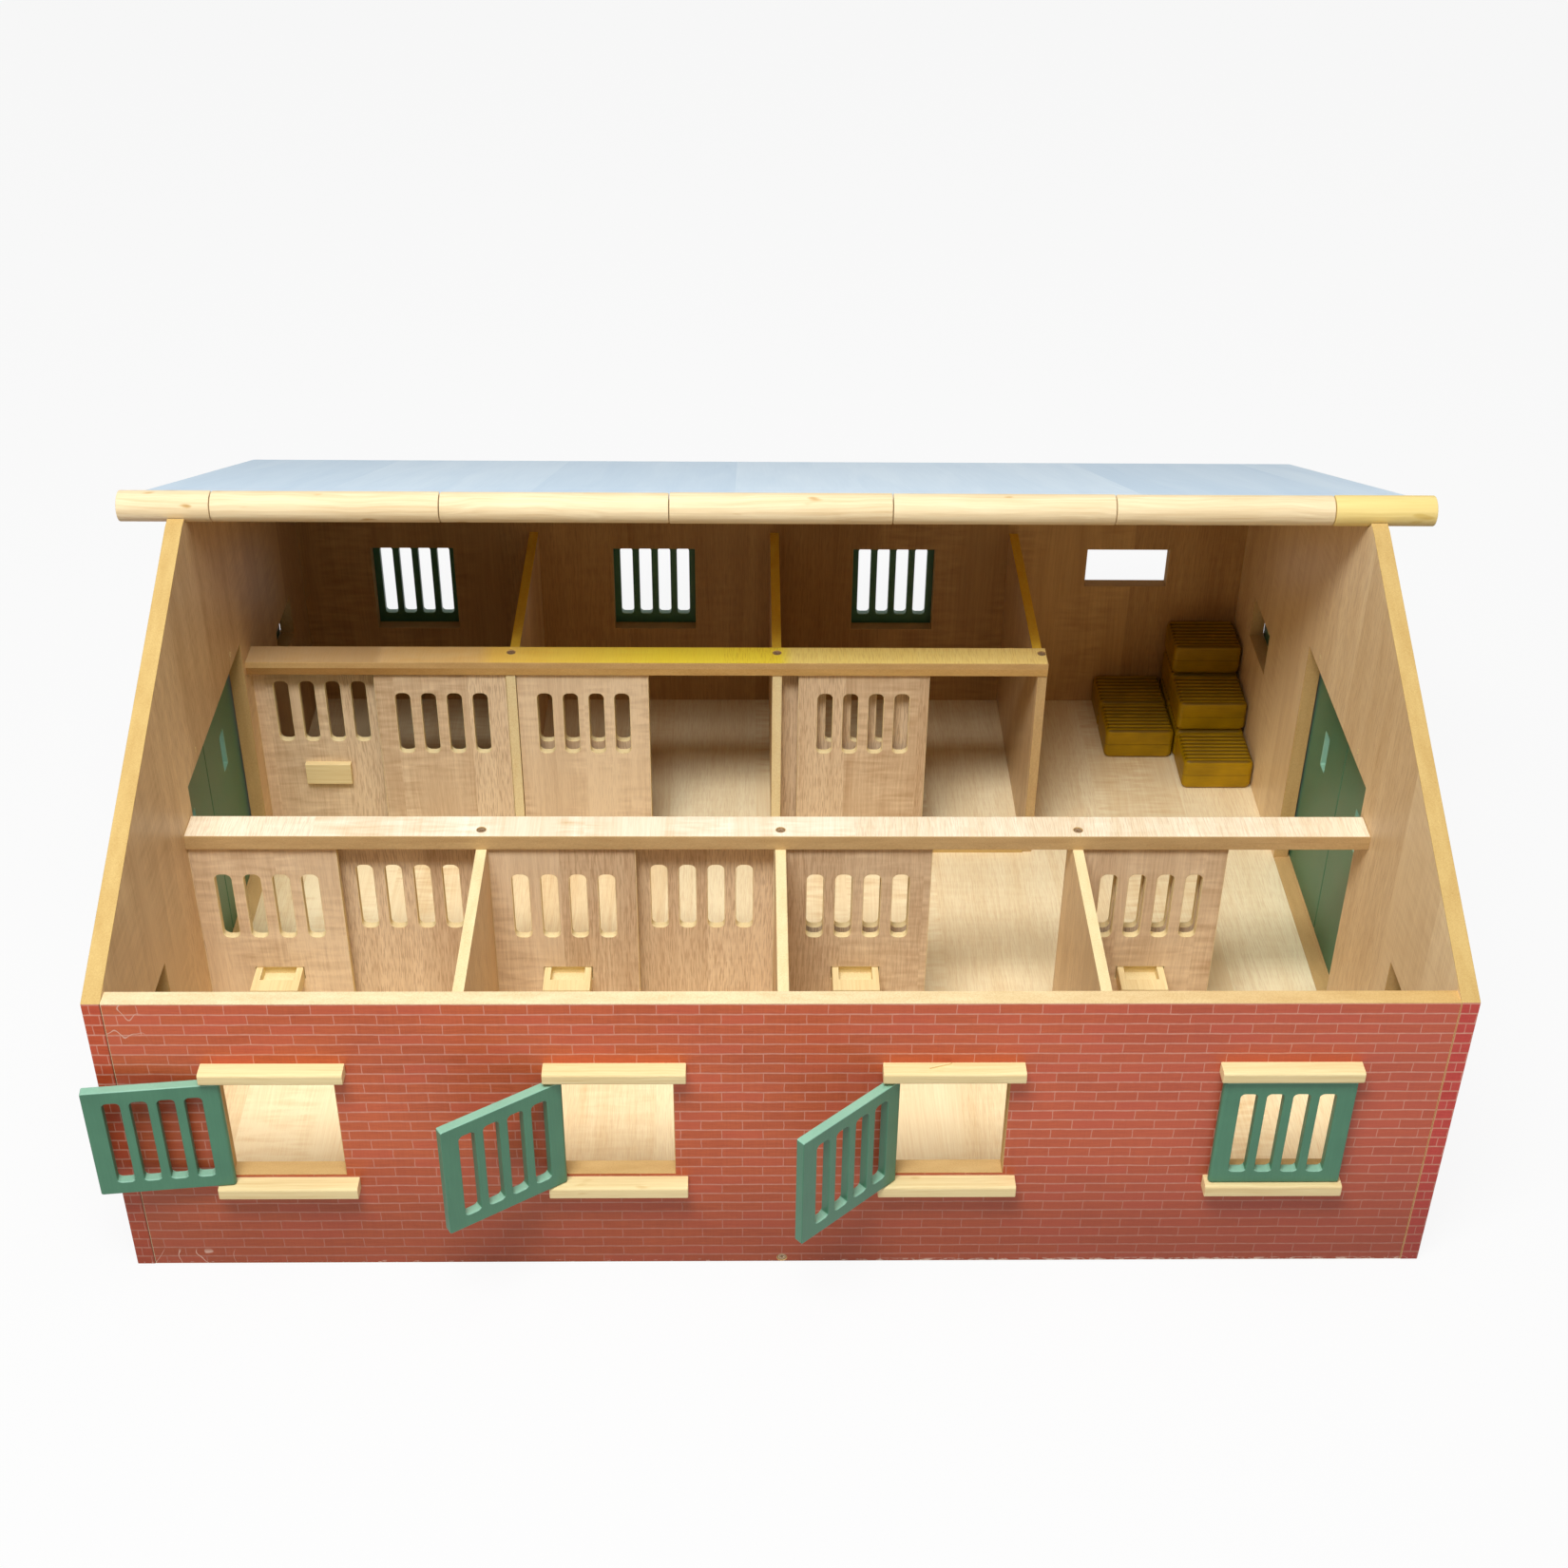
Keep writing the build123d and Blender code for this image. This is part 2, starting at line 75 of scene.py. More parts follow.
window_w, window_h, window_sill = 57.0, 64.5, 65.0
window_pitch = bay_w + partition_t + 1.5
window_xs = [(i - 1.5) * window_pitch for i in range(4)]
hatch_x, hatch_w, hatch_h, hatch_sill = bay_lefts[3] + bay_w / 2 - 1.4, 57.5, 29.2, 100.8
side_window_w, side_window_h, side_window_sill, side_window_off = 50.0, 30.0, 88.5, 193.0
doorway_w, doorway_h = aisle_w - 9.4, 162.7

leaf_t, pivot_in, pivot_out = 5.0, 3.5, 3.65
leaf_lap, side_leaf_lap, door_lap = 4.8, 5.6, 6.4
door_leaf_w = doorway_w / 2 + door_lap - 0.5
hinge_round = 2.0
# How far a leaf reaches past its opening, and its play under the lintel and over the sill.
leaf_below, leaf_above, lintel_play, sill_play = 1.4, 2.7, 1.8, 0.5
BALE_W, BALE_H, BALE_D, BALE_PITCH = 47.5, 22.9, 36.8, 4.3
stick_d, lintel_h, sill_h, door_lintel_h = 9.0, 6.8, 7.6, 7.3
stick_extra, door_stick_lap = 3.8, 4.0


# ---- camera ----
PICTURE = 1650  # pixels, both ways


def make_camera():
    """The photograph's camera: focal length and middle in pixels, angles in radians."""
    focal, middle_x, middle_y = 2320.034, 838.392, 793.641
    pitch, yaw, roll = 0.603040, -0.027476, -0.017002
    turn = Matrix.Rotation(yaw, 3, "Z")
    ahead = turn @ Vector((0, math.cos(pitch), -math.sin(pitch)))
    flat_right = turn @ Vector(X)
    flat_down = ahead.cross(flat_right)
    right = math.cos(roll) * flat_right + math.sin(roll) * flat_down
    down = math.cos(roll) * flat_down - math.sin(roll) * flat_right
    data = bpy.data.cameras.new("Camera")
    data.sensor_width = 36.0
    data.lens = data.sensor_width * focal / PICTURE
    data.shift_x = -(middle_x - PICTURE / 2) / PICTURE
    data.shift_y = -(PICTURE / 2 - middle_y) / PICTURE
    data.clip_start, data.clip_end = 0.05, 60.0
    camera = bpy.data.objects.new("Camera", data)
    scene.collection.objects.link(camera)
    axes = Matrix((right, -down, -ahead)).transposed().to_4x4()
    camera.matrix_world = Matrix.Translation((-0.018806, -1.077791, 0.880128)) @ axes
    scene.camera = camera


make_camera()


# ---- materials ----
def paint(red, green, blue):
    """Linear colour of an 8-bit sRGB one."""

    def linear(value):
        c = value / 255
        return c / 12.92 if c <= 0.04045 else ((c + 0.055) / 1.055) ** 2.4

    return (linear(red), linear(green), linear(blue), 1.0)


class Shader:
    """A material or world being made; most methods add one node and give its output socket."""

    def __init__(self, name, kind="materials"):
        self.owner = getattr(bpy.data, kind).new(name)
        self.owner.use_nodes = True
        self.tree = self.owner.node_tree

    def node(self, kind, settings=(), inputs=()):
        made = self.tree.nodes.new("ShaderNode" + kind)
        for key, value in dict(settings).items():
            setattr(made, key, value)
        for key, value in dict(inputs).items():
            self.feed(made.inputs[key], value)
        return made

    def feed(self, socket, value):
        if isinstance(value, bpy.types.NodeSocket):
            self.tree.links.new(value, socket)
        else:
            socket.default_value = value

    def math(self, operation, a, b=0.0):
        return self.node("Math", {"operation": operation}, {0: a, 1: b}).outputs[0]

    def add(self, *values):
        total = values[0]
        for value in values[1:]:
            total = self.math("ADD", total, value)
        return total

    def times(self, a, b):
        return self.math("MULTIPLY", a, b)

    def swing(self, value, amount):
        """The value's departure from one half, times the amount."""
        return self.times(self.math("SUBTRACT", value, 0.5), amount)

    def grain(self):
        """Distance across, along and through the grain, in millimetres."""
        settings = {"attribute_type": "GEOMETRY", "attribute_name": "grain"}
        made = self.node("Attribute", settings).outputs["Vector"]
        return tuple(self.node("SeparateXYZ", (), {0: made}).outputs)

    def local(self):
        """x, y and z in the piece's own place, in millimetres."""
        parts = self.node("SeparateXYZ", (), {0: self.node("TexCoord").outputs["Object"]})
        return [self.times(parts.outputs[i], 1000.0) for i in range(3)]

    def ramp(self, value, low, high, stops):
        """Colour of a value through stops at given values between low and high."""
        share = self.math("DIVIDE", self.math("SUBTRACT", value, low), high - low)
        made = self.node("ValToRGB", (), {0: share})
        points = made.color_ramp.elements
        while len(points) < len(stops):
            points.new(0.5)
        for point, (at, colour) in zip(points, stops):
            point.position = (at - low) / (high - low)
            point.color = colour
        return made.outputs[0]

    def vector(self, x, y, z=0.0):
        return self.node("CombineXYZ", (), {0: x, 1: y, 2: z}).outputs[0]

    def noise(self, place, scales, detail=2.0, roughness=0.5, distortion=0.0):
        """Noise over x, y, z whose cells are 1/scale millimetres long."""
        where = self.vector(*[self.times(p, s) for p, s in zip(place, scales)])
        inputs = {"Vector": where, "Scale": 1.0, "Detail": detail, "Roughness": roughness}
        inputs["Distortion"] = distortion
        return self.node("TexNoise", (), inputs).outputs[0]

    def random(self, value):
        return self.node("TexWhiteNoise", {"noise_dimensions": "1D"}, {"W": value}).outputs[0]

    def step(self, value, low, high, out_low=0.0, out_high=1.0):
        """Smooth step from out_low at low to out_high at high."""
        inputs = {"Value": value, "From Min": low, "From Max": high}
        inputs.update({"To Min": out_low, "To Max": out_high})
        return self.node("MapRange", {"interpolation_type": "SMOOTHSTEP"}, inputs).outputs[0]

    def mix(self, amount, a, b, blend="MIX"):
        made = self.node("Mix", {"data_type": "RGBA", "blend_type": blend})
        self.feed(made.inputs[0], amount)
        self.feed(made.inputs[6], a)
        self.feed(made.inputs[7], b)
        return made.outputs[2]

    def tinted(self, colour, tint, axis=0):
        """The colour times a ramp (low, high, stops) along an axis of the piece's own."""
        if not tint:
            return colour
        low, high, stops = tint
        return self.mix(1.0, colour, self.ramp(self.local()[axis], low, high, stops), "MULTIPLY")

    def finish(self, colour, roughness, height, depth, **fixed):
        """Wires colour, roughness and a bump of that depth in millimetres."""
        bump = self.node("Bump", (), {"Height": height, "Distance": depth * MM, "Strength": 1.0})
        wired = {"Base Color": colour, "Roughness": roughness, "Normal": bump.outputs[0]}
        wired.update({key.replace("_", " "): value for key, value in fixed.items()})
        surface = self.tree.nodes["Principled BSDF"]
        for key, value in wired.items():
            self.feed(surface.inputs[key], value)
        return self.owner

    def seen_directly(self):
        """1 for camera, glossy and transmission rays, and 0 for the rest."""
        path = self.node("LightPath").outputs
        direct = self.math("MAXIMUM", path["Is Camera Ray"], path["Is Glossy Ray"])
        return self.math("MAXIMUM", direct, path["Is Transmission Ray"])

    def finish_mix(self, share, first, second):
        """Wires a mix of two shaders, by the second one's share."""
        mixed = self.node("MixShader", (), {0: share, 1: first.outputs[0], 2: second.outputs[0]})
        out = next(node for node in self.tree.nodes if "Surface" in node.inputs)
        self.feed(out.inputs["Surface"], mixed.outputs[0])
        return self.owner


def make_beech(name, dark, light, rust, strip_w, strip, figure, fleck, level=0.6, tint=None):
    """Printed beech foil in strips of veneer: some show short rusty dashes, some cross ripples."""
    s = Shader(name)
    across, along, depth = place = s.grain()
    cell = s.math("FLOOR", s.times(across, 1 / strip_w))
    strip_tone = s.random(s.math("ADD", cell, 7.31))
    figured = s.step(s.random(s.math("ADD", cell, 41.9)), 0.35, 0.6)
    shift = s.times(strip_tone, 400.0)
    bend = s.swing(s.noise(place, (0.02, 0.008, 0.02), 1.0), 8.0)
    moved = (s.math("ADD", across, bend), s.math("ADD", along, shift), depth)
    broad = s.noise(moved, (0.07, 0.004, 0.07), 3.0)
    fibre = s.noise(moved, (0.9, 0.014, 0.4), 3.0, 0.65)
    dashes = s.noise(moved, (1.9, 0.1, 0.3), 1.0)
    plain = s.step(figured, 0.0, 1.0, 1.0, 0.3)
    fleck_mask = s.times(s.step(dashes, 0.48, 0.62), plain)
    ripple = s.noise(moved, (0.05, 0.27, 0.2), 1.0, 0.4, 0.4)
    where = s.step(s.noise(moved, (0.02, 0.01, 0.1), 1.0), 0.38, 0.55)
    rippled = s.times(s.swing(ripple, figure * 4), where)
    waves = s.times(rippled, s.step(figured, 0.0, 1.0, 0.25, 1.0))
    tone = s.add(
        level, s.swing(broad, 0.8), s.swing(fibre, 0.8), s.swing(strip_tone, strip * 2), waves
    )
    colour = s.mix(s.times(fleck_mask, fleck), s.mix(tone, dark, light), rust)
    colour = s.tinted(colour, tint)
    rough = s.add(0.42, s.swing(fibre, 0.12), s.times(fleck_mask, 0.05))
    height = s.math("SUBTRACT", tone, s.times(fleck_mask, 0.4))
    return s.finish(colour, rough, height, 0.02, Specular_IOR_Level=0.35)


def make_fibreboard(name, dark, light, tint=None, axis=0):
    """Sawn fibreboard edge: fine speckle and faint layers."""
    s = Shader(name)
    place = s.grain()
    speck = s.noise(place, (1.3, 0.6, 1.3), 3.0, 0.75)
    cloud = s.noise(place, (0.05, 0.03, 0.2), 2.0)
    pores = s.step(s.noise(place, (2.6, 1.6, 2.6), 1.0), 0.64, 0.74)
    tone = s.add(0.6, s.swing(speck, 1.3), s.swing(cloud, 0.8), s.times(pores, -0.4))
    colour = s.tinted(s.mix(tone, dark, light), tint, axis)
    rough = s.add(0.75, s.swing(speck, 0.2))
    return s.finish(colour, rough, tone, 0.06, Specular_IOR_Level=0.2)


def make_pale_wood(name, dark, light, knot=0.5):
    """Bare planed softwood: growth lines along the stick, with a few small knots."""
    s = Shader(name)
    across, along, depth = place = s.grain()
    warp = s.times(s.swing(s.noise(place, (0.03, 0.012, 0.03), 2.0), 1.0), 9.0)
    bent = (s.math("ADD", across, warp), along, s.math("ADD", depth, warp))
    lines = s.noise(bent, (0.75, 0.01, 0.75), 2.0, 0.6)
    fibre = s.noise(place, (2.2, 0.07, 2.2), 3.0, 0.6)
    broad = s.noise(place, (0.05, 0.01, 0.05), 2.0)
    knots = s.step(s.noise(place, (0.14, 0.045, 0.14), 1.0), 0.70, 0.80)
    tone = s.add(
        0.72, s.swing(lines, 0.75), s.swing(fibre, 0.35), s.swing(broad, 0.5), s.times(knots, -knot)
    )
    rough = s.add(0.6, s.swing(fibre, 0.2))
    return s.finish(s.mix(tone, dark, light), rough, tone, 0.05, Specular_IOR_Level=0.25)


COURSE, BRICK_LENGTH, BRICK_END = 6.4, 20.75, 8.3


def make_brick(name, dark, light, seam=None):
    """Foil with a print of thin bricks in running bond, and painted shade towards the foot; with a
    seam colour it is the one on an end.
    """
    s = Shader(name)
    x, y, z = place = s.local()
    end = seam is not None
    u = s.add(x, s.times(z, -1.0), s.swing(s.noise(place, (0.05, 0.2, 0.05), 1.0), 0.7))
    v = s.add(y, 0.9, s.swing(s.noise(place, (0.06, 0.06, 0.06), 2.0), 0.9))
    bricks = s.node(
        "TexBrick", (),
        {
            "Vector": s.vector(u, v), "Color1": (0, 0, 0, 1), "Color2": (1, 1, 1, 1),
            "Mortar": (0.5, 0.5, 0.5, 1), "Scale": 1.0, "Mortar Size": 0.34,
            "Mortar Smooth": 0.6, "Row Height": COURSE,
            "Brick Width": BRICK_END if end else BRICK_LENGTH,
        },
    )
    own = s.node("RGBToBW", (), {0: bricks.outputs[0]}).outputs[0]
    mortar = bricks.outputs[1]
    row = s.math("FRACT", s.times(v, 1 / COURSE))
    joint_line = s.math("MAXIMUM", s.step(row, 0.06, 0.13, 1.0, 0.0), s.step(row, 0.92, 0.98))
    smear = s.noise((u, v, z), (0.09, 0.9, 0.1), 3.0, 0.65)
    ribs = s.noise((u, v, z), (1.1, 0.02, 0.2), 1.0)
    cloud = s.noise(place, (0.012, 0.02, 0.02), 2.0)
    tone = s.add(
        0.5, s.swing(own, 0.34), s.swing(smear, 0.9), s.swing(ribs, 0.3), s.swing(cloud, 0.7)
    )
    face = s.mix(tone, dark, light)
    face = s.mix(s.step(own, 0.35, 1.0, 0.0, 0.3), face, paint(190, 74, 66))
    if not end:
        face = s.mix(s.step(x, -60.0, 330.0, 0.0, 0.4), face, paint(192, 88, 76))
    joint = s.mix(s.noise(place, (0.3, 0.3, 0.3), 2.0), paint(198, 124, 102), paint(232, 172, 150))
    print_and_foot_shade = s.mix(s.times(mortar, 0.75), face, joint)
    print_and_foot_shade = s.mix(s.times(joint_line, 0.68), print_and_foot_shade, joint)
    # Painted shade: the bricks darken towards the foot of the wall.
    print_and_foot_shade = s.mix(s.step(y, 0.0, 110.0, 0.5, 0.0), print_and_foot_shade, paint(104, 38, 12))
    worn = s.noise(place, (0.16, 0.7, 0.5), 3.0, 0.7)
    if end:
        chips = s.times(s.step(worn, 0.60, 0.68), s.step(y, 0.5, 3.2, 1.0, 0.0))
        line = s.step(z, -board_t + 0.35, -board_t + 0.75, 0.75, 0.0)
        print_and_foot_shade = s.mix(line, print_and_foot_shade, seam)
    else:
        limit = s.step(x, 0.0, 80.0, 0.62, 0.52)
        foot = s.step(y, 0.4, 2.6, 1.0, 0.0)
        chips = s.times(s.math("GREATER_THAN", worn, limit), foot)
        crack = s.swing(s.noise(place, (0.07, 0.05, 0.1), 1.0, 0.5), 1.0)
        crack = s.step(s.math("ABSOLUTE", crack), 0.003, 0.01, 0.7, 0.0)
        corner = s.times(s.step(x, -316.0, -306.0, 1.0, 0.0), s.step(y, 148.0, 158.0))
        low = s.times(s.step(x, -292.0, -280.0, 1.0, 0.0), s.step(y, 8.0, 12.0, 1.0, 0.0))
        chips = s.math("MAXIMUM", chips, s.times(crack, s.math("MAXIMUM", corner, low)))
    colour = s.mix(s.times(chips, 0.85), print_and_foot_shade, paint(232, 204, 184))
    rough = s.add(0.38, s.swing(smear, 0.15), s.times(chips, 0.3))
    height = s.add(s.times(mortar, -0.5), s.swing(ribs, 0.4), s.times(chips, -1.5))
    return s.finish(colour, rough, height, 0.04, Specular_IOR_Level=0.3)


def make_green(name, dark, light):
    """Brushed satin paint."""
    s = Shader(name)
    place = s.grain()
    streak = s.noise(place, (1.2, 0.06, 1.2), 2.0, 0.6)
    cloud = s.noise(place, (0.04, 0.04, 0.04), 2.0)
    dust = s.noise(place, (2.5, 2.5, 2.5), 2.0, 0.7)
    tone = s.add(0.5, s.swing(streak, 0.4), s.swing(cloud, 0.8), s.swing(dust, 0.35))
    rough = s.add(0.4, s.swing(cloud, 0.15), s.swing(dust, 0.1))
    height = s.add(s.swing(streak, 0.6), s.swing(dust, 0.5))
    return s.finish(s.mix(tone, dark, light), rough, height, 0.05, Specular_IOR_Level=0.45)


def make_roof_foil():
    """Pale blue-grey wood print in wide strips that run up the slope."""
    s = Shader("roof_foil")
    across, along, depth = s.grain()
    strip_w, strip_from = 118.0, 38.0
    cell = s.math("FLOOR", s.times(s.math("ADD", across, strip_from), 1 / strip_w))
    strip_tone = s.random(cell)
    moved = (across, s.math("ADD", along, s.times(strip_tone, 300.0)), depth)
    grain = s.noise(moved, (0.5, 0.012, 0.3), 3.0, 0.6)
    broad = s.noise(moved, (0.05, 0.005, 0.05), 2.0, 0.5, 0.6)
    tone = s.add(0.5, s.swing(strip_tone, 0.45), s.swing(grain, 0.6), s.swing(broad, 0.8))
    colour = s.mix(tone, paint(184, 211, 232), paint(218, 236, 248))
    rough = s.add(0.4, s.swing(grain, 0.15))
    return s.finish(colour, rough, tone, 0.02, Specular_IOR_Level=0.25)


def make_straw():
    """Moulded mustard plastic with pressed straw lines, a moulding seam and painted shade in the
    grooves across its top.
    """
    s = Shader("straw_plastic")
    across, along, depth = place = s.grain()
    lines = s.noise(place, (0.06, 1.6, 1.6), 2.0, 0.6)
    cloud = s.noise(place, (0.06, 0.06, 0.06), 2.0)
    seam = s.step(s.math("ABSOLUTE", depth), 0.1, 0.45, 1.0, 0.0)
    turn = s.times(s.math("SUBTRACT", along, BALE_D / 2), 2 * math.pi / BALE_PITCH)
    # Painted shade: the grooves pressed across the top are darkened in colour.
    groove = s.step(s.math("COSINE", turn), -0.7, 0.7)
    groove = s.times(groove, s.step(depth, BALE_H / 2 - 1.9, BALE_H / 2 - 0.7))
    tone = s.add(
        0.5, s.swing(lines, 0.5), s.swing(cloud, 0.6), s.times(seam, -0.35), s.times(groove, -0.7)
    )
    colour = s.mix(tone, paint(112, 84, 0), paint(198, 156, 6))
    height = s.add(s.swing(lines, 0.8), s.times(seam, -1.0))
    rough = s.add(0.45, s.swing(lines, 0.1))
    return s.finish(colour, rough, height, 0.12, Specular_IOR_Level=0.22)


def make_steel(name, colour, roughness, metallic=1.0):
    s = Shader(name)
    scratch = s.noise(s.local(), (3.0, 3.0, 0.8), 3.0, 0.7)
    tint = s.mix(scratch, colour, tuple(0.6 * c for c in colour[:3]) + (1.0,))
    rough = s.add(roughness, s.swing(scratch, 0.2))
    return s.finish(tint, rough, scratch, 0.02, Metallic=metallic)


WHITE = (1.0, 1.0, 1.0, 1.0)
BRICK = make_brick("brick_foil", paint(175, 78, 44), paint(219, 112, 66))
BRICK_ENDS = {
    "left": make_brick(
        "brick_foil_left_end", paint(172, 62, 28), paint(212, 92, 48), paint(120, 62, 38)
    ),
    "right": make_brick(
        "brick_foil_right_end", paint(182, 52, 44), paint(216, 82, 70), paint(202, 156, 104)
    ),
}
WALL = make_beech(
    "beech_wall", paint(186, 146, 96), paint(238, 206, 158), paint(160, 112, 68),
    strip_w=66.0, strip=0.22, figure=0.15, fleck=0.3,
)
# Painted light: a paler copy of the wall beech for the right wall's inner face, standing in for the
# stronger light it gets.
LIT_RIGHT_WALL = make_beech(
    "beech_right_wall", paint(212, 174, 122), paint(255, 230, 184), paint(176, 130, 86),
    strip_w=66.0, strip=0.24, figure=0.15, fleck=0.3,
)
# Painted shade: a darker copy of the wall beech for the rear wall, standing in for the shade under
# the roof.
SHADED_BACK_WALL = make_beech(
    "beech_back_wall", paint(158, 114, 62), paint(214, 172, 110), paint(124, 84, 44),
    strip_w=88.0, strip=0.2, figure=0.2, fleck=0.22,
)
FLOOR = make_beech(
    "beech_floor", paint(226, 190, 134), paint(255, 240, 200), paint(206, 162, 112),
    strip_w=58.0, strip=0.2, figure=0.3, fleck=0.2, level=0.75,
)
PANEL = make_beech(
    "beech_panel", paint(192, 158, 120), paint(242, 218, 182), paint(154, 110, 74),
    strip_w=46.0, strip=0.3, figure=0.28, fleck=0.38,
)
BEAM = make_beech(
    "beech_beam", paint(222, 192, 146), paint(254, 245, 222), paint(190, 150, 104),
    strip_w=150.0, strip=0.2, figure=0.3, fleck=0.25,
)
# Painted light: the rear beam's top is a near-white copy of the beam beech, standing in for light
# the roof's shade keeps off it; the ramp along x darkens the left end and turns the middle yellow.
REAR_BEAM_PAINTED_LIGHT = make_beech(
    "beech_beam_stained", paint(252, 240, 216), WHITE, paint(190, 150, 104),
    strip_w=150.0, strip=0.1, figure=0.3, fleck=0.25,
    tint=(-330.0, 170.0, (
        (-328.0, paint(204, 174, 130)), (-249.0, paint(208, 176, 128)),
        (-245.0, paint(230, 198, 144)), (-186.0, paint(240, 204, 134)),
        (-176.0, paint(255, 216, 110)), (-70.0, paint(255, 238, 78)),
        (2.0, paint(255, 238, 78)), (10.0, paint(255, 236, 142)),
        (168.0, paint(255, 234, 154)),
    )),
)
EDGE = make_fibreboard("fibreboard_edge", paint(186, 148, 84), paint(216, 186, 120))
CREAM = make_fibreboard(
    "fibreboard_cream", paint(206, 178, 128), paint(238, 222, 180),
    tint=(
        -330.0, 330.0,
        ((0.0, WHITE), (150.0, paint(250, 240, 228)), (320.0, paint(238, 214, 172))),
    ),
)
REVEAL = make_fibreboard("fibreboard_reveal", paint(186, 146, 88), paint(216, 180, 122))
TAN = make_fibreboard("fibreboard_tan", paint(176, 140, 90), paint(212, 180, 128))
REAR_TAN = make_fibreboard(
    "fibreboard_rear_tan", paint(182, 138, 76), paint(216, 176, 110),
    tint=(
        -510.0, 0.0,
        ((-500.0, paint(206, 190, 176)), (-420.0, paint(214, 200, 184)), (-330.0, WHITE)),
    ),
    axis=2,
)
GOLD = make_fibreboard("fibreboard_gold", paint(236, 180, 36), paint(255, 224, 84))
PALE = make_fibreboard("fibreboard_pale", paint(222, 194, 136), paint(248, 232, 184))
TRIM = make_pale_wood("trim_wood", paint(204, 166, 100), paint(244, 225, 172))
NOSE = make_pale_wood("nosing_wood", paint(190, 148, 84), paint(248, 230, 190), knot=0.7)
GOLD_NOSE = make_pale_wood("nosing_wood_gold", paint(212, 180, 96), paint(244, 220, 146))
GREEN = make_green("green_paint", paint(58, 112, 84), paint(82, 138, 106))
GREEN_EDGE = make_green("green_paint_edge", paint(122, 172, 146), paint(146, 192, 168))
ROOF = make_roof_foil()
STRAW = make_straw()
STEEL = make_steel("screw_steel", paint(186, 156, 122), 0.4, 0.45)
PIN_STEEL = make_steel("pin_steel", paint(112, 108, 102), 0.45)


# ---- outlines ----
def rect(left, low, right, high):
    return [(left, low), (right, low), (right, high), (left, high)]


def soften(outline, radius, flats=5):
    """Rounds each corner of an outline; radius may be a list with one number per corner."""
    radii = radius if isinstance(radius, (list, tuple)) else [radius] * len(outline)
    made = []
    for i, here in enumerate(outline):
        r = radii[i]
        corner = Vector(here)
        if r <= 0:
            made.append(tuple(corner))
            continue
        back = (Vector(outline[i - 1]) - corner).normalized()
        on = (Vector(outline[(i + 1) % len(outline)]) - corner).normalized()
        half = back.angle(on) / 2
        centre = corner + (back + on).normalized() * (r / math.sin(half))
        start = corner + back * (r / math.tan(half)) - centre
        end = corner + on * (r / math.tan(half)) - centre
        sweep = start.angle_signed(end)
        for k in range(flats + 1):
            turn = Matrix.Rotation(-sweep * k / flats, 2)
            made.append(tuple(centre + turn @ start))
    return made


def soft_rect(cx, cy, w, h, r, flats=5):
    return soften(rect(cx - w / 2, cy - h / 2, cx + w / 2, cy + h / 2), r, flats)


def circle(cx, cy, r, flats=24):
    turns = [2 * math.pi * k / flats for k in range(flats)]
    return [(cx + r * math.cos(t), cy + r * math.sin(t)) for t in turns]


def area(loop):
    return sum(a[0] * b[1] - b[0] * a[1] for a, b in zip(loop, loop[1:] + loop[:1])) / 2


def wound(loop, outer):
    """The loop with its material on the left of every side."""
    return loop if (area(loop) > 0) == outer else loop[::-1]


def mitres(loop):
    """For each corner, how it moves when every side moves one millimetre into the material."""
    moves = []
    for i, here in enumerate(loop):
        before = (Vector(here) - Vector(loop[i - 1])).normalized()
        after = (Vector(loop[(i + 1) % len(loop)]) - Vector(here)).normalized()
        n1, n2 = Vector((-before.y, before.x)), Vector((-after.y, after.x))
        moves.append((n1 + n2) / (1 + n1.dot(n2)))
    return moves


# ---- pieces ----
def seat(origin, x_dir, y_dir):
    """Place of a piece: its local x and y directions, and z facing out of its front."""
    x, y = Vector(x_dir), Vector(y_dir)
    z = x.cross(y)
    made = Matrix((x, y, z)).transposed().to_4x4()
    made.translation = Vector(origin)
    return made


def add_piece(name, mesh_maker, place, mats, body, nodes, grain, seed, smooth=40.0):
    """Writes a bmesh in local millimetres as an object of the frame that rides on its body."""
    bm = bmesh.new()
    mesh_maker(bm)
    bmesh.ops.recalc_face_normals(bm, faces=bm.faces)
    mesh = bpy.data.meshes.new(name)
    layer = bm.verts.layers.float_vector.new("grain")
    along = "xyz".index(grain)
    across = 1 if along == 0 else 0
    third = 3 - along - across
    shift = Vector((37.3, 211.7, 91.1)) * seed
    for vert in bm.verts:
        vert[layer] = Vector((vert.co[across], vert.co[along], vert.co[third])) + shift
        vert.co *= MM
    for face in bm.faces:
        face.smooth = True
    bm.to_mesh(mesh)
    bm.free()
    mesh.set_sharp_from_angle(angle=math.radians(smooth))
    for mat in mats:
        mesh.materials.append(mat)
    obj = bpy.data.objects.new(name, mesh)
    scene.collection.objects.link(obj)
    seated = place.copy()
    seated.translation = place.translation * MM
    obj.matrix_world = seated
    flat = obj.modifiers.new("normals", "WEIGHTED_NORMAL")
    flat.keep_sharp = True
    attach(obj, body)
    if nodes:
        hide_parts(*nodes)
    return obj


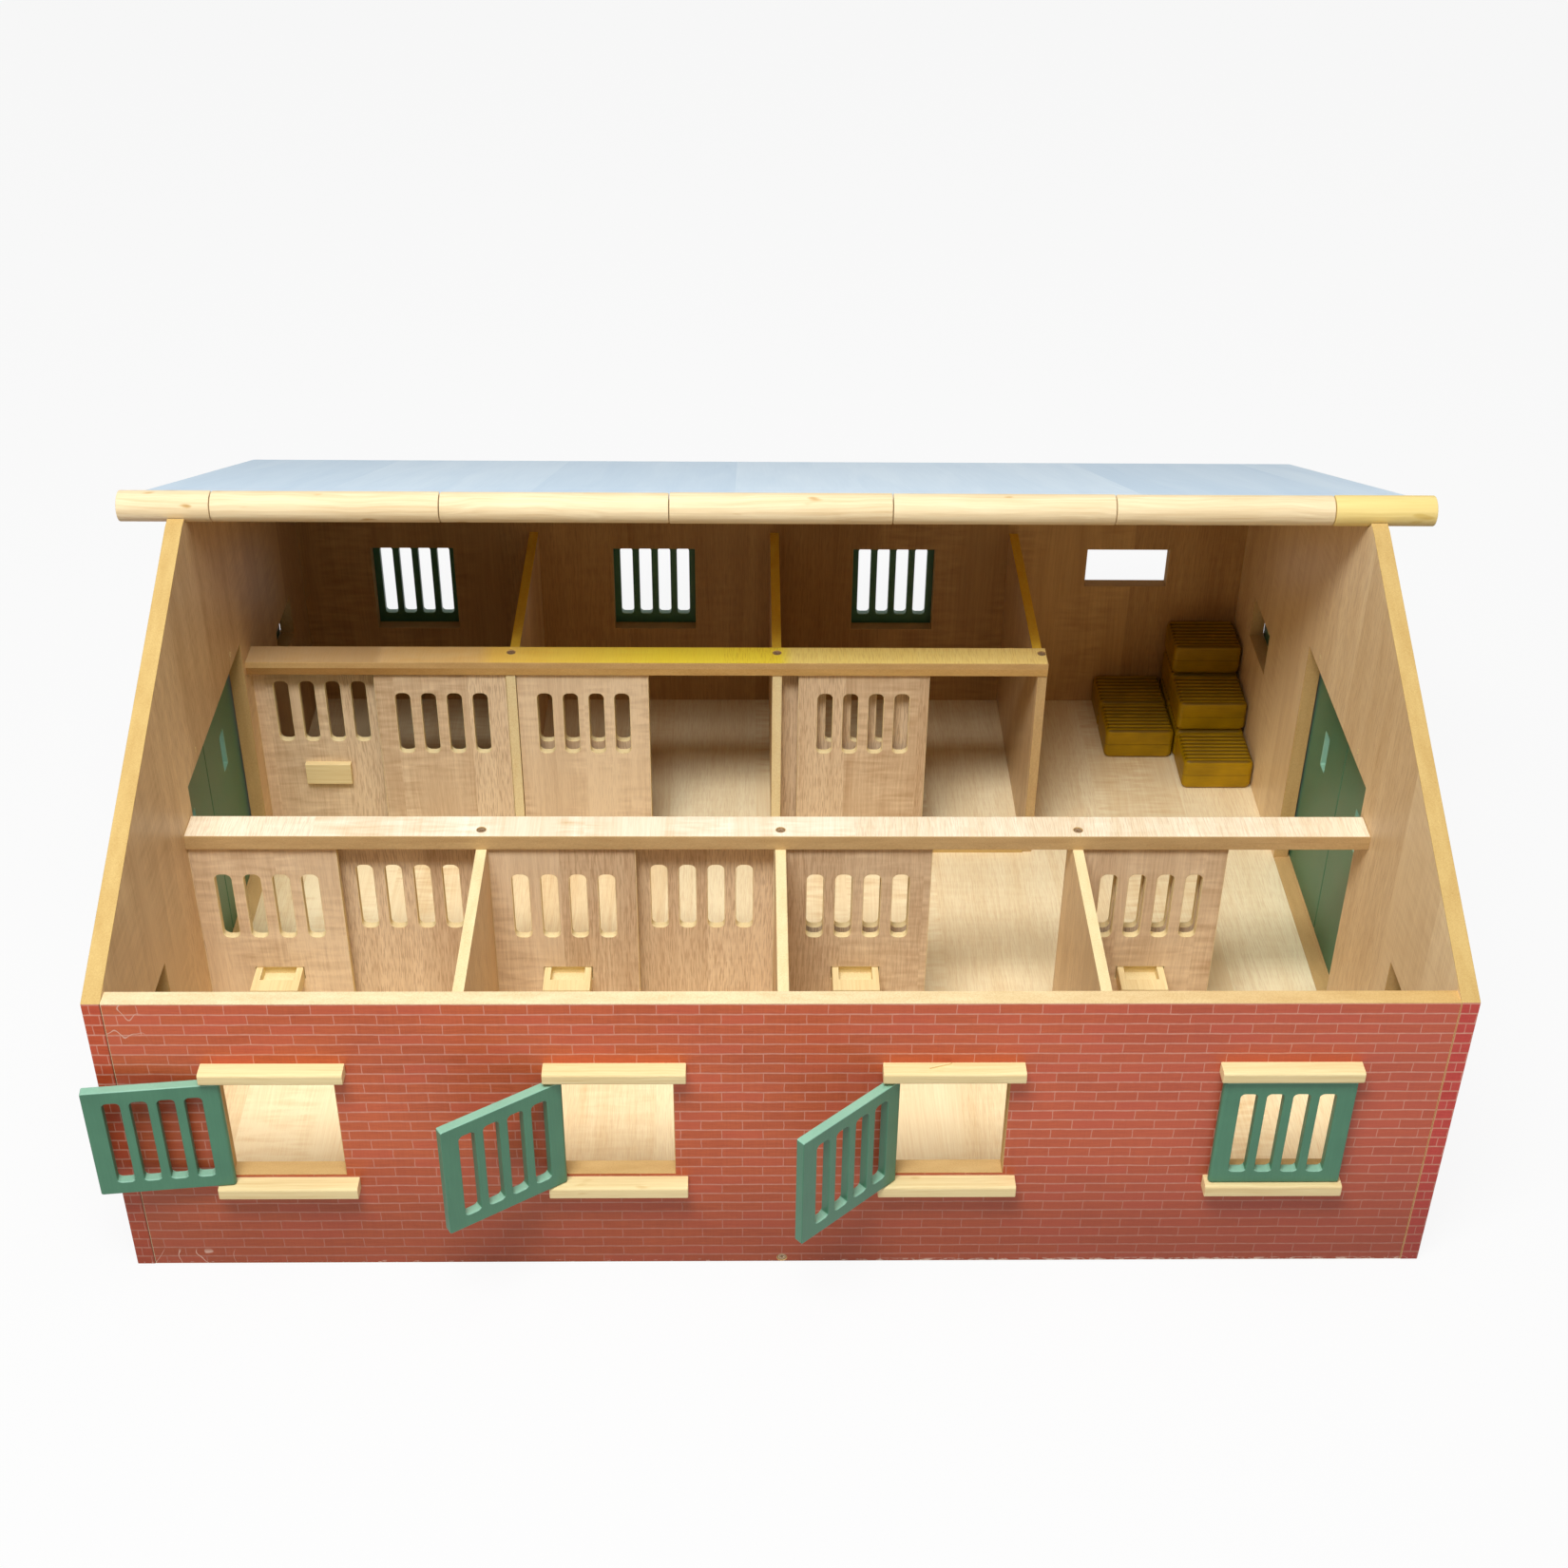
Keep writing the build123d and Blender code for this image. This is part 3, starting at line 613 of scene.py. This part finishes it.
def board(
    name, place, outline, depth, mats, holes=(), pockets=(), bevel=0.35, back_bevel=None, steps=2,
    side=None, grain="y", body="barn", nodes=(), seed=0.0, warp=None, hinge=None,
):
    """A board with its front at local z = 0 and its back at -depth; edges are broken by a bevel.

    mats are front, back and sides; side(x, y, hole) may name another index for a side face.
    pockets are (outline, depth) pairs open at the front. warp moves local points at the end.
    hinge is the x left of which the edge is fully round.
    """
    back_bevel = bevel if back_bevel is None else back_bevel
    loops = [(wound(outline, True), depth, 0)]
    loops += [(wound(loop, False), depth, 1) for loop in holes]
    loops += [(wound(loop, False), deep, 2) for loop, deep in pockets]

    def ring(loop, moves, size, turn, base, sign):
        points = []
        for (x, y), move in zip(loop, moves):
            round_edge = hinge is not None and x < hinge
            bx = hinge_round if round_edge else size
            shrink = 1 - math.sin(turn)
            z = base + sign * bx * (1 - math.cos(turn))
            points.append((x + move.x * bx * shrink, y + move.y * size * shrink, z))
        return points

    def fill(bm):
        front, back = [], []
        for loop, deep, kind in loops:
            moves = mitres(loop)
            turns = [math.pi / 2 * k / steps for k in range(steps + 1)]
            levels = [ring(loop, moves, bevel, t, 0.0, -1) for t in turns]
            if kind == 2:
                levels.append([(x, y, -deep) for x, y in loop])
            else:
                levels += [ring(loop, moves, back_bevel, t, -depth, 1) for t in reversed(turns)]
            rows = [[bm.verts.new(p) for p in level] for level in levels]
            front.append(rows[0])
            if kind == 2:
                cap(bm, [rows[-1]], 0 if side is None else side(*loop[0], kind))
            else:
                back.append(rows[-1])
            count = len(loop)
            for a, b in zip(rows, rows[1:]):
                for i in range(count):
                    j = (i + 1) % count
                    if (a[i].co - b[i].co).length < 1e-6 and (a[j].co - b[j].co).length < 1e-6:
                        continue
                    face = bm.faces.new((a[i], a[j], b[j], b[i]))
                    mid = (Vector(loop[i]) + Vector(loop[j])) / 2
                    face.material_index = 2 if side is None else side(mid.x, mid.y, kind)
        cap(bm, front, 0)
        cap(bm, back, 1)
        bmesh.ops.remove_doubles(bm, verts=bm.verts, dist=1e-5)
        if warp:
            for vert in bm.verts:
                vert.co = warp(vert.co)

    return add_piece(name, fill, place, mats, body, nodes, grain, seed)


def cap(bm, rows, index):
    """Closes one flat side, given its outer ring and the rings of its openings."""
    flat = [[Vector((v.co.x, v.co.y, 0)) for v in row] for row in rows]
    verts = [v for row in rows for v in row]
    for a, b, c in tessellate_polygon(flat):
        face = bm.faces.new((verts[a], verts[b], verts[c]))
        face.material_index = index


def opening_side(x, y, kind):
    """Side faces of a board are its third material, and those of its openings the fourth."""
    return 3 if kind else 2


# ---- places ----
FRONT = seat((0, -body_d / 2, 0), X, Z)
REAR = seat((0, body_d / 2, 0), (-1, 0, 0), Z)
RIGHT = seat((body_w / 2, aisle_y, 0), Y, Z)
LEFT = seat((-body_w / 2, aisle_y, 0), (0, -1, 0), Z)
WALLS = {"front": FRONT, "rear": REAR, "right": RIGHT, "left": LEFT}


# ---- shell ----
def window_hole(x, sill, w, h):
    return rect(x - w / 2, sill, x + w / 2, sill + h)


def make_shell():
    holes = [window_hole(x, window_sill, window_w, window_h) for x in window_xs]
    holes.append(circle(0, front_screw_z, screw_r))
    board(
        "front_wall", FRONT, rect(-inner_w / 2, 0, inner_w / 2, eave_h), board_t,
        [BRICK, WALL, CREAM, REVEAL], holes, side=opening_side,
        nodes=["wall_front"], seed=1,
    )
    holes = [window_hole(-x, window_sill, window_w, window_h) for x in window_xs[:-1]]
    holes.append(window_hole(-hatch_x, hatch_sill, hatch_w, hatch_h))

    def lean(p):
        """The top edge follows the slope of the roof."""
        return Vector((p.x, p.y - p.z * math.tan(slope) * (p.y > eave_h - 2), p.z))

    board(
        "rear_wall", REAR, rect(-inner_w / 2, 0, inner_w / 2, eave_h), board_t,
        [BRICK, SHADED_BACK_WALL, EDGE, REVEAL], holes, side=opening_side,
        nodes=["wall_rear"], seed=2, warp=lean,
    )
    for name, sign in (("left", -1), ("right", 1)):
        front, rear = (-body_d / 2 - aisle_y) * sign, (body_d / 2 - aisle_y) * sign
        hollow = nosing_r + nosing_gap
        turns = [math.radians(a) for a in (246.57, 238, 229, 220, 211, 203)]
        bite = [(nosing_y + hollow * math.cos(t), nosing_z + hollow * math.sin(t)) for t in turns]
        foot_y = roof_setback * math.cos(slope)
        foot_z = ridge_h - roof_setback * math.sin(slope)
        worn = [(-3.2, 294.4), (-5.0, 294.0), (-7.5, 293.35)]
        peak = [(foot_y, foot_z)] + bite + worn
        outline = [(front, 0), (rear, 0), (rear, eave_h)]
        outline += [((y - aisle_y) * sign, z) for y, z in peak]
        outline += [(front, eave_h)]
        holes = [rect(-doorway_w / 2, floor_t, doorway_w / 2, floor_t + doorway_h)]
        for off in (-side_window_off, side_window_off):
            holes.append(window_hole(off, side_window_sill, side_window_w, side_window_h))

        def edge(x, y, kind, front=front, rear=rear):
            """As opening_side, but the upright ends at front and rear carry the print too."""
            upright = min(abs(x - front), abs(x - rear)) < 0.5 and y < eave_h
            return 4 if upright and not kind else opening_side(x, y, kind)

        # The right wall's inner face takes the paler beech, as painted light.
        inside = WALL if sign < 0 else LIT_RIGHT_WALL
        board(
            f"{name}_wall", WALLS[name], outline, board_t,
            [BRICK, inside, EDGE, REVEAL, BRICK_ENDS[name]], holes, side=edge,
            nodes=[f"wall_{name}"], seed=3 + sign,
        )
    board(
        "floor_board", seat((0, 0, floor_t), X, Y),
        rect(-inner_w / 2, -inner_d / 2, inner_w / 2, inner_d / 2), floor_t, [FLOOR, EDGE, EDGE],
        nodes=["floor"], seed=5, bevel=0.1,
    )


def make_roof():
    normal = Vector((0, math.sin(slope), math.cos(slope)))
    down = Vector((0, math.cos(slope), -math.sin(slope)))
    board(
        "roof_board", seat(Vector((0, 0, ridge_h)) + normal * roof_t, X, down),
        rect(-roof_w / 2, roof_setback, roof_w / 2, roof_setback + roof_run), roof_t,
        [ROOF, WALL, EDGE], nodes=["roof_panel"], seed=6,
    )
    joints = (-365.0, -314.0, -188.5, -62.0, 62.0, 186.0, 308.0, 365.0)
    start = math.pi / 2 - slope
    flats, gap = 24, 0.4
    for k, (left, right) in enumerate(zip(joints, joints[1:])):
        lean = noise.noise(Vector((k * 3.7, 0.5, 0.0))) * 0.5
        radius = nosing_r - 0.12 * (k % 3)
        turns = [start + math.pi * i / flats for i in range(flats + 1)]
        bow = [(nosing_y + radius * math.cos(t), nosing_z + radius * math.sin(t)) for t in turns]
        wood = NOSE if k < 6 else GOLD_NOSE
        board(
            f"roof_nosing_{k + 1}", seat((right - gap / 2, 0, 0), Y, Z), bow,
            right - left - gap, [wood] * 3, bevel=0.6, grain="z",
            nodes=["roof_nosing"], seed=10.3 + k * 1.7 + lean,
        )


# ---- stalls ----
class Row:
    """A row of stalls; side is -1 in front of the aisle and 1 behind it.

    fixed_slot and door_slot are the heights of the slots' middles, and doors says how far each
    sliding door stands from the left end of its bay.
    """

    def __init__(self, name, side, stalls, fixed_slot, door_slot, doors):
        self.name = name
        self.side = side
        self.edge = aisle_y + side * aisle_w / 2
        self.lefts = bay_lefts[:stalls]
        self.end = bay_lefts[stalls - 1] + bay_w + (0 if stalls == 4 else partition_t)
        self.fixed_slot = fixed_slot
        self.door_slot = door_slot
        self.trough_foot = fixed_slot - trough_drop - trough_h
        self.doors = doors

    def y(self, inset):
        return self.edge + self.side * inset

    def span(self, inset_a, inset_b):
        return sorted((self.y(inset_a), self.y(inset_b)))


ROWS = (
    Row("front", -1, 4, 100.5, 100.0, (door_shut, door_shut, door_open, door_open)),
    Row("rear", 1, 3, 107.5, 105.0, (door_shut, door_open, 10.5)),
)


def make_beam(row):
    low, high = row.span(0, beam_w)
    top = beam_under + beam_t
    deck = 4.0
    length = row.end + inner_w / 2
    holes = [circle(x, row.y(screw_inset), screw_r) for x in partition_xs]
    if row.side < 0:
        deck_mats, lip_mat = [BEAM, PALE, TAN], TAN
    else:
        # The rear beam's top takes the paler beech, as painted light.
        deck_mats, lip_mat = [REAR_BEAM_PAINTED_LIGHT, PALE, REVEAL], REAR_TAN
    board(
        f"beam_{row.name}_top", seat((0, 0, top), X, Y),
        rect(-inner_w / 2, low, row.end, high), deck, deck_mats, holes, bevel=0.45,
        back_bevel=0.0, nodes=[f"beam_{row.name}"], seed=20 + row.side,
    )
    for part, (a, b) in enumerate(((0.0, groove_from), (groove_to, beam_w))):
        near, far = row.span(a, b)
        board(
            f"beam_{row.name}_lip_{part + 1}", seat((row.end, 0, 0), Y, Z),
            soften(rect(near, beam_under, far, top - deck), [0.4, 0.4, 0, 0], 3), length,
            [lip_mat] * 3, bevel=0.2, grain="z", nodes=[f"beam_{row.name}"], seed=20 + row.side,
        )


def make_rails(row):
    near, far = row.span(0, beam_w)
    a, b = row.span(groove_from, groove_to)
    groove_foot = rail_top - 3
    outline = [
        (near, floor_t), (far, floor_t), (far, rail_top), (b, rail_top),
        (b, groove_foot), (a, groove_foot), (a, rail_top), (near, rail_top),
    ]
    for k, left in enumerate(row.lefts, 1):
        board(
            f"rail_{row.name}_{k}", seat((left + bay_w, 0, 0), Y, Z),
            soften(outline, [0, 0, 0.4, 0.3, 0, 0, 0.3, 0.4], 3), bay_w, [EDGE] * 3,
            bevel=0.1, grain="z", nodes=[f"rails_{row.name}"], seed=30 + k * row.side,
        )


def make_partitions(row):
    low, high = sorted((row.side * inner_d / 2, row.y(1.0)))

    def ends(x, y, kind):
        """The top edge is the fourth material, and the upright ends are the third."""
        return 3 if y > beam_under - 1 else 2

    for k, x in enumerate(partition_xs, 1):
        # Painted light and shade: the rear row's first two stall walls get paler upright ends, the
        # others the darker tan.
        upright = PALE if row.side > 0 and k < 3 else TAN
        top = PALE if row.side < 0 else GOLD
        board(
            f"stall_wall_{row.name}_{k}",
            seat((x + partition_t / 2, 0, 0), Y, Z),
            rect(low, floor_t, high, beam_under), partition_t, [WALL, WALL, upright, top],
            bevel=0.3, side=ends, nodes=[f"partition_{row.name}_{k}"],
            seed=40 + 3 * k * row.side,
        )


def panel_slots(left, slot_mid):
    mid = left + panel_w / 2
    return [
        soft_rect(mid + (i - 1.5) * slot_pitch, slot_mid, slot_w, slot_h, slot_r, 6)
        for i in range(4)
    ]


def make_panels(row):
    fixed_y, _ = row.span(fixed_inset, fixed_inset + panel_t)
    door_y, _ = row.span(door_inset, door_inset + panel_t)
    for k, left in enumerate(row.lefts, 1):
        holes = panel_slots(left, row.fixed_slot)
        mid, low, notch_play = left + panel_w / 2, row.trough_foot, 0.4
        notch = trough_w / 2 + notch_play
        holes.append(
            rect(mid - notch, low - notch_play, mid + notch, low + trough_h + notch_play)
        )
        board(
            f"panel_{row.name}_{k}", seat((0, fixed_y, 0), X, Z),
            rect(left, rail_top, left + panel_w, beam_under), panel_t, [PANEL, PANEL, PALE], holes,
            bevel=0.3, nodes=[f"fixed_panel_{row.name}_{k}"], seed=50 + 3 * k * row.side,
        )
    for k, (left, offset) in enumerate(zip(row.lefts, row.doors), 1):
        start = left + offset
        board(
            f"sliding_door_{row.name}_{k}", seat((0, door_y, 0), X, Z),
            rect(start, door_foot, start + panel_w, door_head), panel_t, [PANEL, PANEL, PALE],
            panel_slots(start, row.door_slot), bevel=0.3, body=f"stall_door_{row.name}_{k}",
            nodes=[f"stall_door_{row.name}_{k}"], seed=70 + 3 * k * row.side,
        )


def make_troughs(row):
    low = row.trough_foot
    reach = panel_t + trough_out
    rim, heel, pocket_half, pocket_deep = 1.5, 9.5, 9.6, 6.4
    back_half, back_h, back_t = 14.5, 15.0, 4.5
    a, b = row.span(fixed_inset, fixed_inset + reach)
    c, d = row.span(fixed_inset + rim, fixed_inset + reach - heel)
    near, _ = row.span(fixed_inset - back_t, fixed_inset)
    for k, left in enumerate(row.lefts, 1):
        mid = left + panel_w / 2
        pocket = rect(mid - pocket_half, c, mid + pocket_half, d)
        board(
            f"trough_{row.name}_{k}", seat((0, 0, low + trough_h), X, Y),
            rect(mid - trough_w / 2, a, mid + trough_w / 2, b), trough_h,
            [TRIM, TRIM, TRIM, PALE], pockets=[(pocket, pocket_deep)],
            bevel=0.5, side=opening_side,
            nodes=[f"troughs_{row.name}"], seed=90 + 2 * k * row.side,
        )
        board(
            f"trough_back_{row.name}_{k}", seat((0, near, 0), X, Z),
            rect(mid - back_half, low, mid + back_half, low + back_h), back_t, [TRIM] * 3,
            bevel=0.5, grain="x", nodes=[f"troughs_{row.name}"],
            seed=93 + k * row.side,
        )


# ---- shutters and doors ----
class Leaf:
    """A shutter or door leaf; side is -1 where its hinge is at the lower x of its wall."""

    def __init__(self, name, wall, x, width, foot, head, side, angle=0.0):
        self.name, self.wall, self.side, self.angle = name, wall, side, angle
        self.x, self.width, self.foot, self.head = x, width, foot, head

    def place(self):
        """x from the hinge axis to the free edge, y up, z out of the face, on the front side."""
        wall = WALLS[self.wall]
        local = Vector((self.x + self.side * (self.width / 2 - pivot_in), self.foot, pivot_out))
        turn = math.radians(self.angle)
        x_dir, z_dir = wall.col[0].to_3d(), wall.col[2].to_3d()
        along = x_dir * (-self.side * math.cos(turn)) + z_dir * math.sin(turn)
        made = seat(wall @ local, along, Z)
        made.translation += made.col[2].to_3d() * (leaf_t / 2)
        return made


def all_leaves():
    foot, head = window_sill - leaf_below, window_sill + window_h + leaf_above
    open_angles = (174.0, 147.0, 138.0, 0.0)
    leaves = []
    for k, (x, angle) in enumerate(zip(window_xs, open_angles), 1):
        name = f"shutter_front_{k}"
        leaves.append(Leaf(name, "front", x, window_w + 2 * leaf_lap, foot, head, -1, angle))
    for k, x in enumerate(window_xs[:-1], 1):
        name = f"shutter_rear_{k}"
        leaves.append(Leaf(name, "rear", -x, window_w + 2 * leaf_lap, foot, head, -1))
    foot = side_window_sill - leaf_below
    head = side_window_sill + side_window_h + leaf_above
    for wall in ("left", "right"):
        for side in (-1, 1):
            place = "rear" if side * WALLS[wall].col[0].y > 0 else "front"
            name = f"shutter_{wall}_{place}"
            x = side * side_window_off
            width = side_window_w + 2 * side_leaf_lap
            leaves.append(Leaf(name, wall, x, width, foot, head, side))
            name = f"side_door_{wall}_{place}"
            x = side * (door_leaf_w + 1.0) / 2
            top = floor_t + doorway_h + leaf_above
            leaves.append(Leaf(name, wall, x, door_leaf_w, floor_t + sill_play, top, side))
    return leaves


def make_leaf(leaf, seed):
    height = leaf.head - leaf.foot
    left, right = -pivot_in, leaf.width - pivot_in
    mid = (left + right) / 2
    door = leaf.name.startswith("side_door")
    bar, stile, rail = 4.55, 9.2, 7.8
    corners = soften(rect(left, 0, right, height), [0, 1.0, 1.0, 0], 4)
    outline = [corners[0], (left + hinge_round, 0)] + corners[1:-1]
    outline += [(left + hinge_round, height), corners[-1]]
    if door:
        grip_foot, grip_w, grip_h = 100.0, 10.0, 25.0
        holes = [soft_rect(mid, grip_foot - leaf.foot + grip_h / 2, grip_w, grip_h, 1.2, 4)]
    else:
        w = (leaf.width - 2 * stile - 3 * bar) / 4
        holes = [
            soft_rect(mid + (i - 1.5) * (w + bar), height / 2, w, height - 2 * rail, 2.5, 6)
            for i in range(4)
        ]

    def paler_sides(x, y, kind):
        """Edges that face up take the paler green; so does all of a door's grip hole."""
        if kind:
            return 2 if door or y < rail + 1.3 else 1
        return 2 if y > height - 0.5 else 1

    board(
        leaf.name + "_board", leaf.place(), outline, leaf_t, [GREEN, GREEN, GREEN_EDGE], holes,
        bevel=0.5, steps=4, side=paler_sides, hinge=left + 0.5, body=leaf.name,
        nodes=[leaf.name], seed=seed,
    )


def make_sticks(leaves):
    count = 0

    def stick(wall, x, length, low, height, wood=TRIM):
        nonlocal count
        count += 1
        end = (WALLS[wall] @ Matrix.Translation((x + length / 2, 0, 0))).translation
        turned = seat(end, -WALLS[wall].col[2].to_3d(), Z)
        profile = soften(rect(-stick_d, low, 0, low + height), [1.5, 0.3, 0.3, 1.5], 5)
        board(
            f"stick_{wall}_{count}", turned, profile, length, [wood] * 3, bevel=0.5,
            grain="z", nodes=[f"sticks_{wall}"], seed=100 + 1.37 * count,
        )

    for leaf in leaves:
        if leaf.name.startswith("side_door"):
            continue
        length = leaf.width + stick_extra
        stick(leaf.wall, leaf.x, length, leaf.foot - sill_play - sill_h, sill_h)
        stick(leaf.wall, leaf.x, length, leaf.head + lintel_play, lintel_h)
    for wall in ("left", "right"):
        length = doorway_w + 2 * (door_lap + door_stick_lap)
        stick(wall, 0, length, 0, floor_t, REVEAL)
        low = floor_t + doorway_h + leaf_above + lintel_play
        stick(wall, 0, length, low, door_lintel_h)


# ---- screws and bales ----
def make_screws():
    """Countersunk heads with a cross recess, sunk a little into their holes."""
    places = []
    for row in ROWS:
        for x in partition_xs:
            origin = (x, row.y(screw_inset), beam_under + beam_t)
            places.append((origin, X, Y))
    places.append(((0, -body_d / 2, front_screw_z), X, Z))
    sunk, play, arm, half = 0.35, 0.12, 1.25, 0.28
    cross = [
        (arm, -half), (arm, half), (half, half), (half, arm), (-half, arm), (-half, half),
        (-arm, half), (-arm, -half), (-half, -half), (-half, -arm), (half, -arm), (half, -half),
    ]
    for k, (origin, x_dir, y_dir) in enumerate(places, 1):
        place = seat(origin, x_dir, y_dir) @ Matrix.Translation((0, 0, -sunk))
        place = place @ Matrix.Rotation(0.7 * k, 4, "Z")
        board(
            f"screw_{k}", place, circle(0, 0, screw_r - play, 28), 2.0, [STEEL] * 3,
            pockets=[(cross, 0.9)], bevel=0.25, steps=3, seed=k,
        )


def make_nails():
    """Nail heads that show inside, above each corner of the doorways."""
    nail_off, nail_z, proud = 50.3, 175.8, 0.12
    for wall, x in (("left", -inner_w / 2), ("right", inner_w / 2)):
        for side in (-1, 1):
            inward = 1 if x < 0 else -1
            facing = seat((x, aisle_y + side * nail_off, nail_z), (0, inward, 0), Z)
            facing = facing @ Matrix.Translation((0, 0, proud))
            ring = [
                (p[0] * (1 + 0.35 * noise.noise(Vector((k, side, x)))), p[1] * 1.3)
                for k, p in enumerate(circle(0, 0, 1.5, 12))
            ]
            board(
                f"nail_{wall}_{side + 2}", facing, ring, 0.6, [PALE, PALE, TAN],
                pockets=[(circle(0, 0, 0.7, 10), 0.4)], bevel=0.1, seed=130 + side + x / 100,
            )


def make_splinter():
    """A splinter that stands off the top of the third lintel."""
    lintel_top = window_sill + window_h + leaf_above + lintel_play + lintel_h
    along, aside, thick = 0.95, 0.3122, 0.9
    board(
        "splinter",
        seat((71.0, -body_d / 2 - 5.0, lintel_top + thick), (along, aside, 0), (-aside, along, 0)),
        [(0, 0), (9.5, -0.25), (12.0, 0.2), (9.0, 0.5), (0.4, 0.8)], thick, [TRIM] * 3,
        bevel=0.15, grain="x", seed=141,
    )


def make_bale(name, body, origin, seed):
    """Block with rounded ends and with grooves pressed across its top."""
    w, h, d = BALE_W, BALE_H, BALE_D
    section = soft_rect(0, h / 2, w, h, 4.0, 6)
    rings, lip, plain_end, groove_depth = 120, 3.4, 2.6, 1.1

    def fill(bm):
        rows = []
        for k in range(rings + 1):
            y = d * k / rings
            end = min(y, d - y)
            pull = lip - math.sqrt(max(lip**2 - (lip - end) ** 2, 0)) if end < lip else 0.0
            wave = 0.5 + 0.5 * math.cos(2 * math.pi * (y - d / 2) / BALE_PITCH)
            groove = groove_depth * wave if plain_end < y < d - plain_end else 0.0
            row = []
            for x, z in section:
                px = x * (1 - pull * 2 / w)
                pz = h / 2 + (z - h / 2) * (1 - pull * 2 / h)
                if z > h - 1.0 and abs(x) < w / 2 - plain_end:
                    pz -= groove
                row.append(bm.verts.new((px, y, pz)))
            rows.append(row)
        count = len(section)
        for a, b in zip(rows, rows[1:]):
            for i in range(count):
                j = (i + 1) % count
                bm.faces.new((a[i], a[j], b[j], b[i]))
        for row in (rows[0], rows[-1]):
            bm.faces.new(row)

    obj = add_piece(
        name, fill, Matrix.Translation(origin), [STRAW], body, [body], "y", 0.0, 50.0
    )
    layer = obj.data.attributes["grain"].data
    for item, vert in zip(layer, obj.data.vertices):
        p = vert.co / MM
        item.vector = (p.x + seed, p.y, p.z - h / 2)


def make_bales():
    gap, wall_gap, stack_gap, level_gap = 0.35, 1.15, 1.0, 0.1
    right = inner_w / 2 - wall_gap - BALE_W / 2
    left = right - stack_gap - BALE_W
    for side, x, stacks in (("left", left, (1, 1)), ("right", right, (3, 2, 1))):
        number = 0
        for place, tall in enumerate(stacks):
            back = inner_d / 2 - gap - place * (BALE_D + gap)
            for level in range(tall):
                number += 1
                origin = (x, back - BALE_D, floor_t + level * (BALE_H + level_gap))
                name = f"bale_{side}_{number}"
                make_bale(name, f"straw_bales_{side}", origin, 31.0 * number)


make_shell()
make_roof()
for stall_row in ROWS:
    make_beam(stall_row)
    make_rails(stall_row)
    make_partitions(stall_row)
    make_panels(stall_row)
    make_troughs(stall_row)
leaf_list = all_leaves()
for number, one_leaf in enumerate(leaf_list):
    make_leaf(one_leaf, 120 + number)
make_sticks(leaf_list)
make_screws()
make_nails()
make_splinter()
make_bales()
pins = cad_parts["hinge_pins"]
pins.data.materials.clear()
pins.data.materials.append(PIN_STEEL)


# ---- stage ----
def make_ground():
    """Pale floor just under the part that keeps its shadow."""
    half, low = 30.0, -0.0003
    mesh = bpy.data.meshes.new("ground")
    corners = [(x, y, low) for x, y in rect(-half, -half, half, half)]
    mesh.from_pydata(corners, [], [(0, 1, 2, 3)])
    ground = bpy.data.objects.new("ground", mesh)
    scene.collection.objects.link(ground)
    s = Shader("ground_white")
    plain = s.node("BsdfDiffuse", (), {"Color": (0.65, 0.65, 0.65, 1)})
    share = s.times(s.seen_directly(), 0.91)
    mesh.materials.append(s.finish_mix(share, plain, s.node("Emission")))


def make_world():
    """Dim even light on the part, and white where the background is seen."""
    s = Shader("studio", "worlds")
    plain, white = (
        s.node("Background", (), {"Strength": strength, "Color": WHITE})
        for strength in (0.22, 1.0)
    )
    scene.world = s.finish_mix(s.seen_directly(), plain, white)


def make_light(name, place, target, size, power):
    """A soft box at a place in metres, aimed at a target."""
    data = bpy.data.lights.new(name, "AREA")
    data.shape = "RECTANGLE"
    data.size, data.size_y = size
    data.energy = power
    lamp = bpy.data.objects.new(name, data)
    scene.collection.objects.link(lamp)
    lamp.location = place
    lamp.rotation_mode = "QUATERNION"
    lamp.rotation_quaternion = (Vector(place) - Vector(target)).to_track_quat("Z", "Y")


make_ground()
make_world()
make_light("key", (-0.27, -0.79, 1.45), (-0.02, 0.0, 0.1), (0.6, 0.4), 16.4)
make_light("overhead", (-0.04, -0.99, 1.9), (0.0, -0.05, 0.1), (0.9, 0.52), 10.8)
make_light("top", (0.12, -0.22, 1.85), (0.0, 0.0, 0.1), (0.8, 0.4), 5.2)

scene.view_settings.view_transform = "Standard"
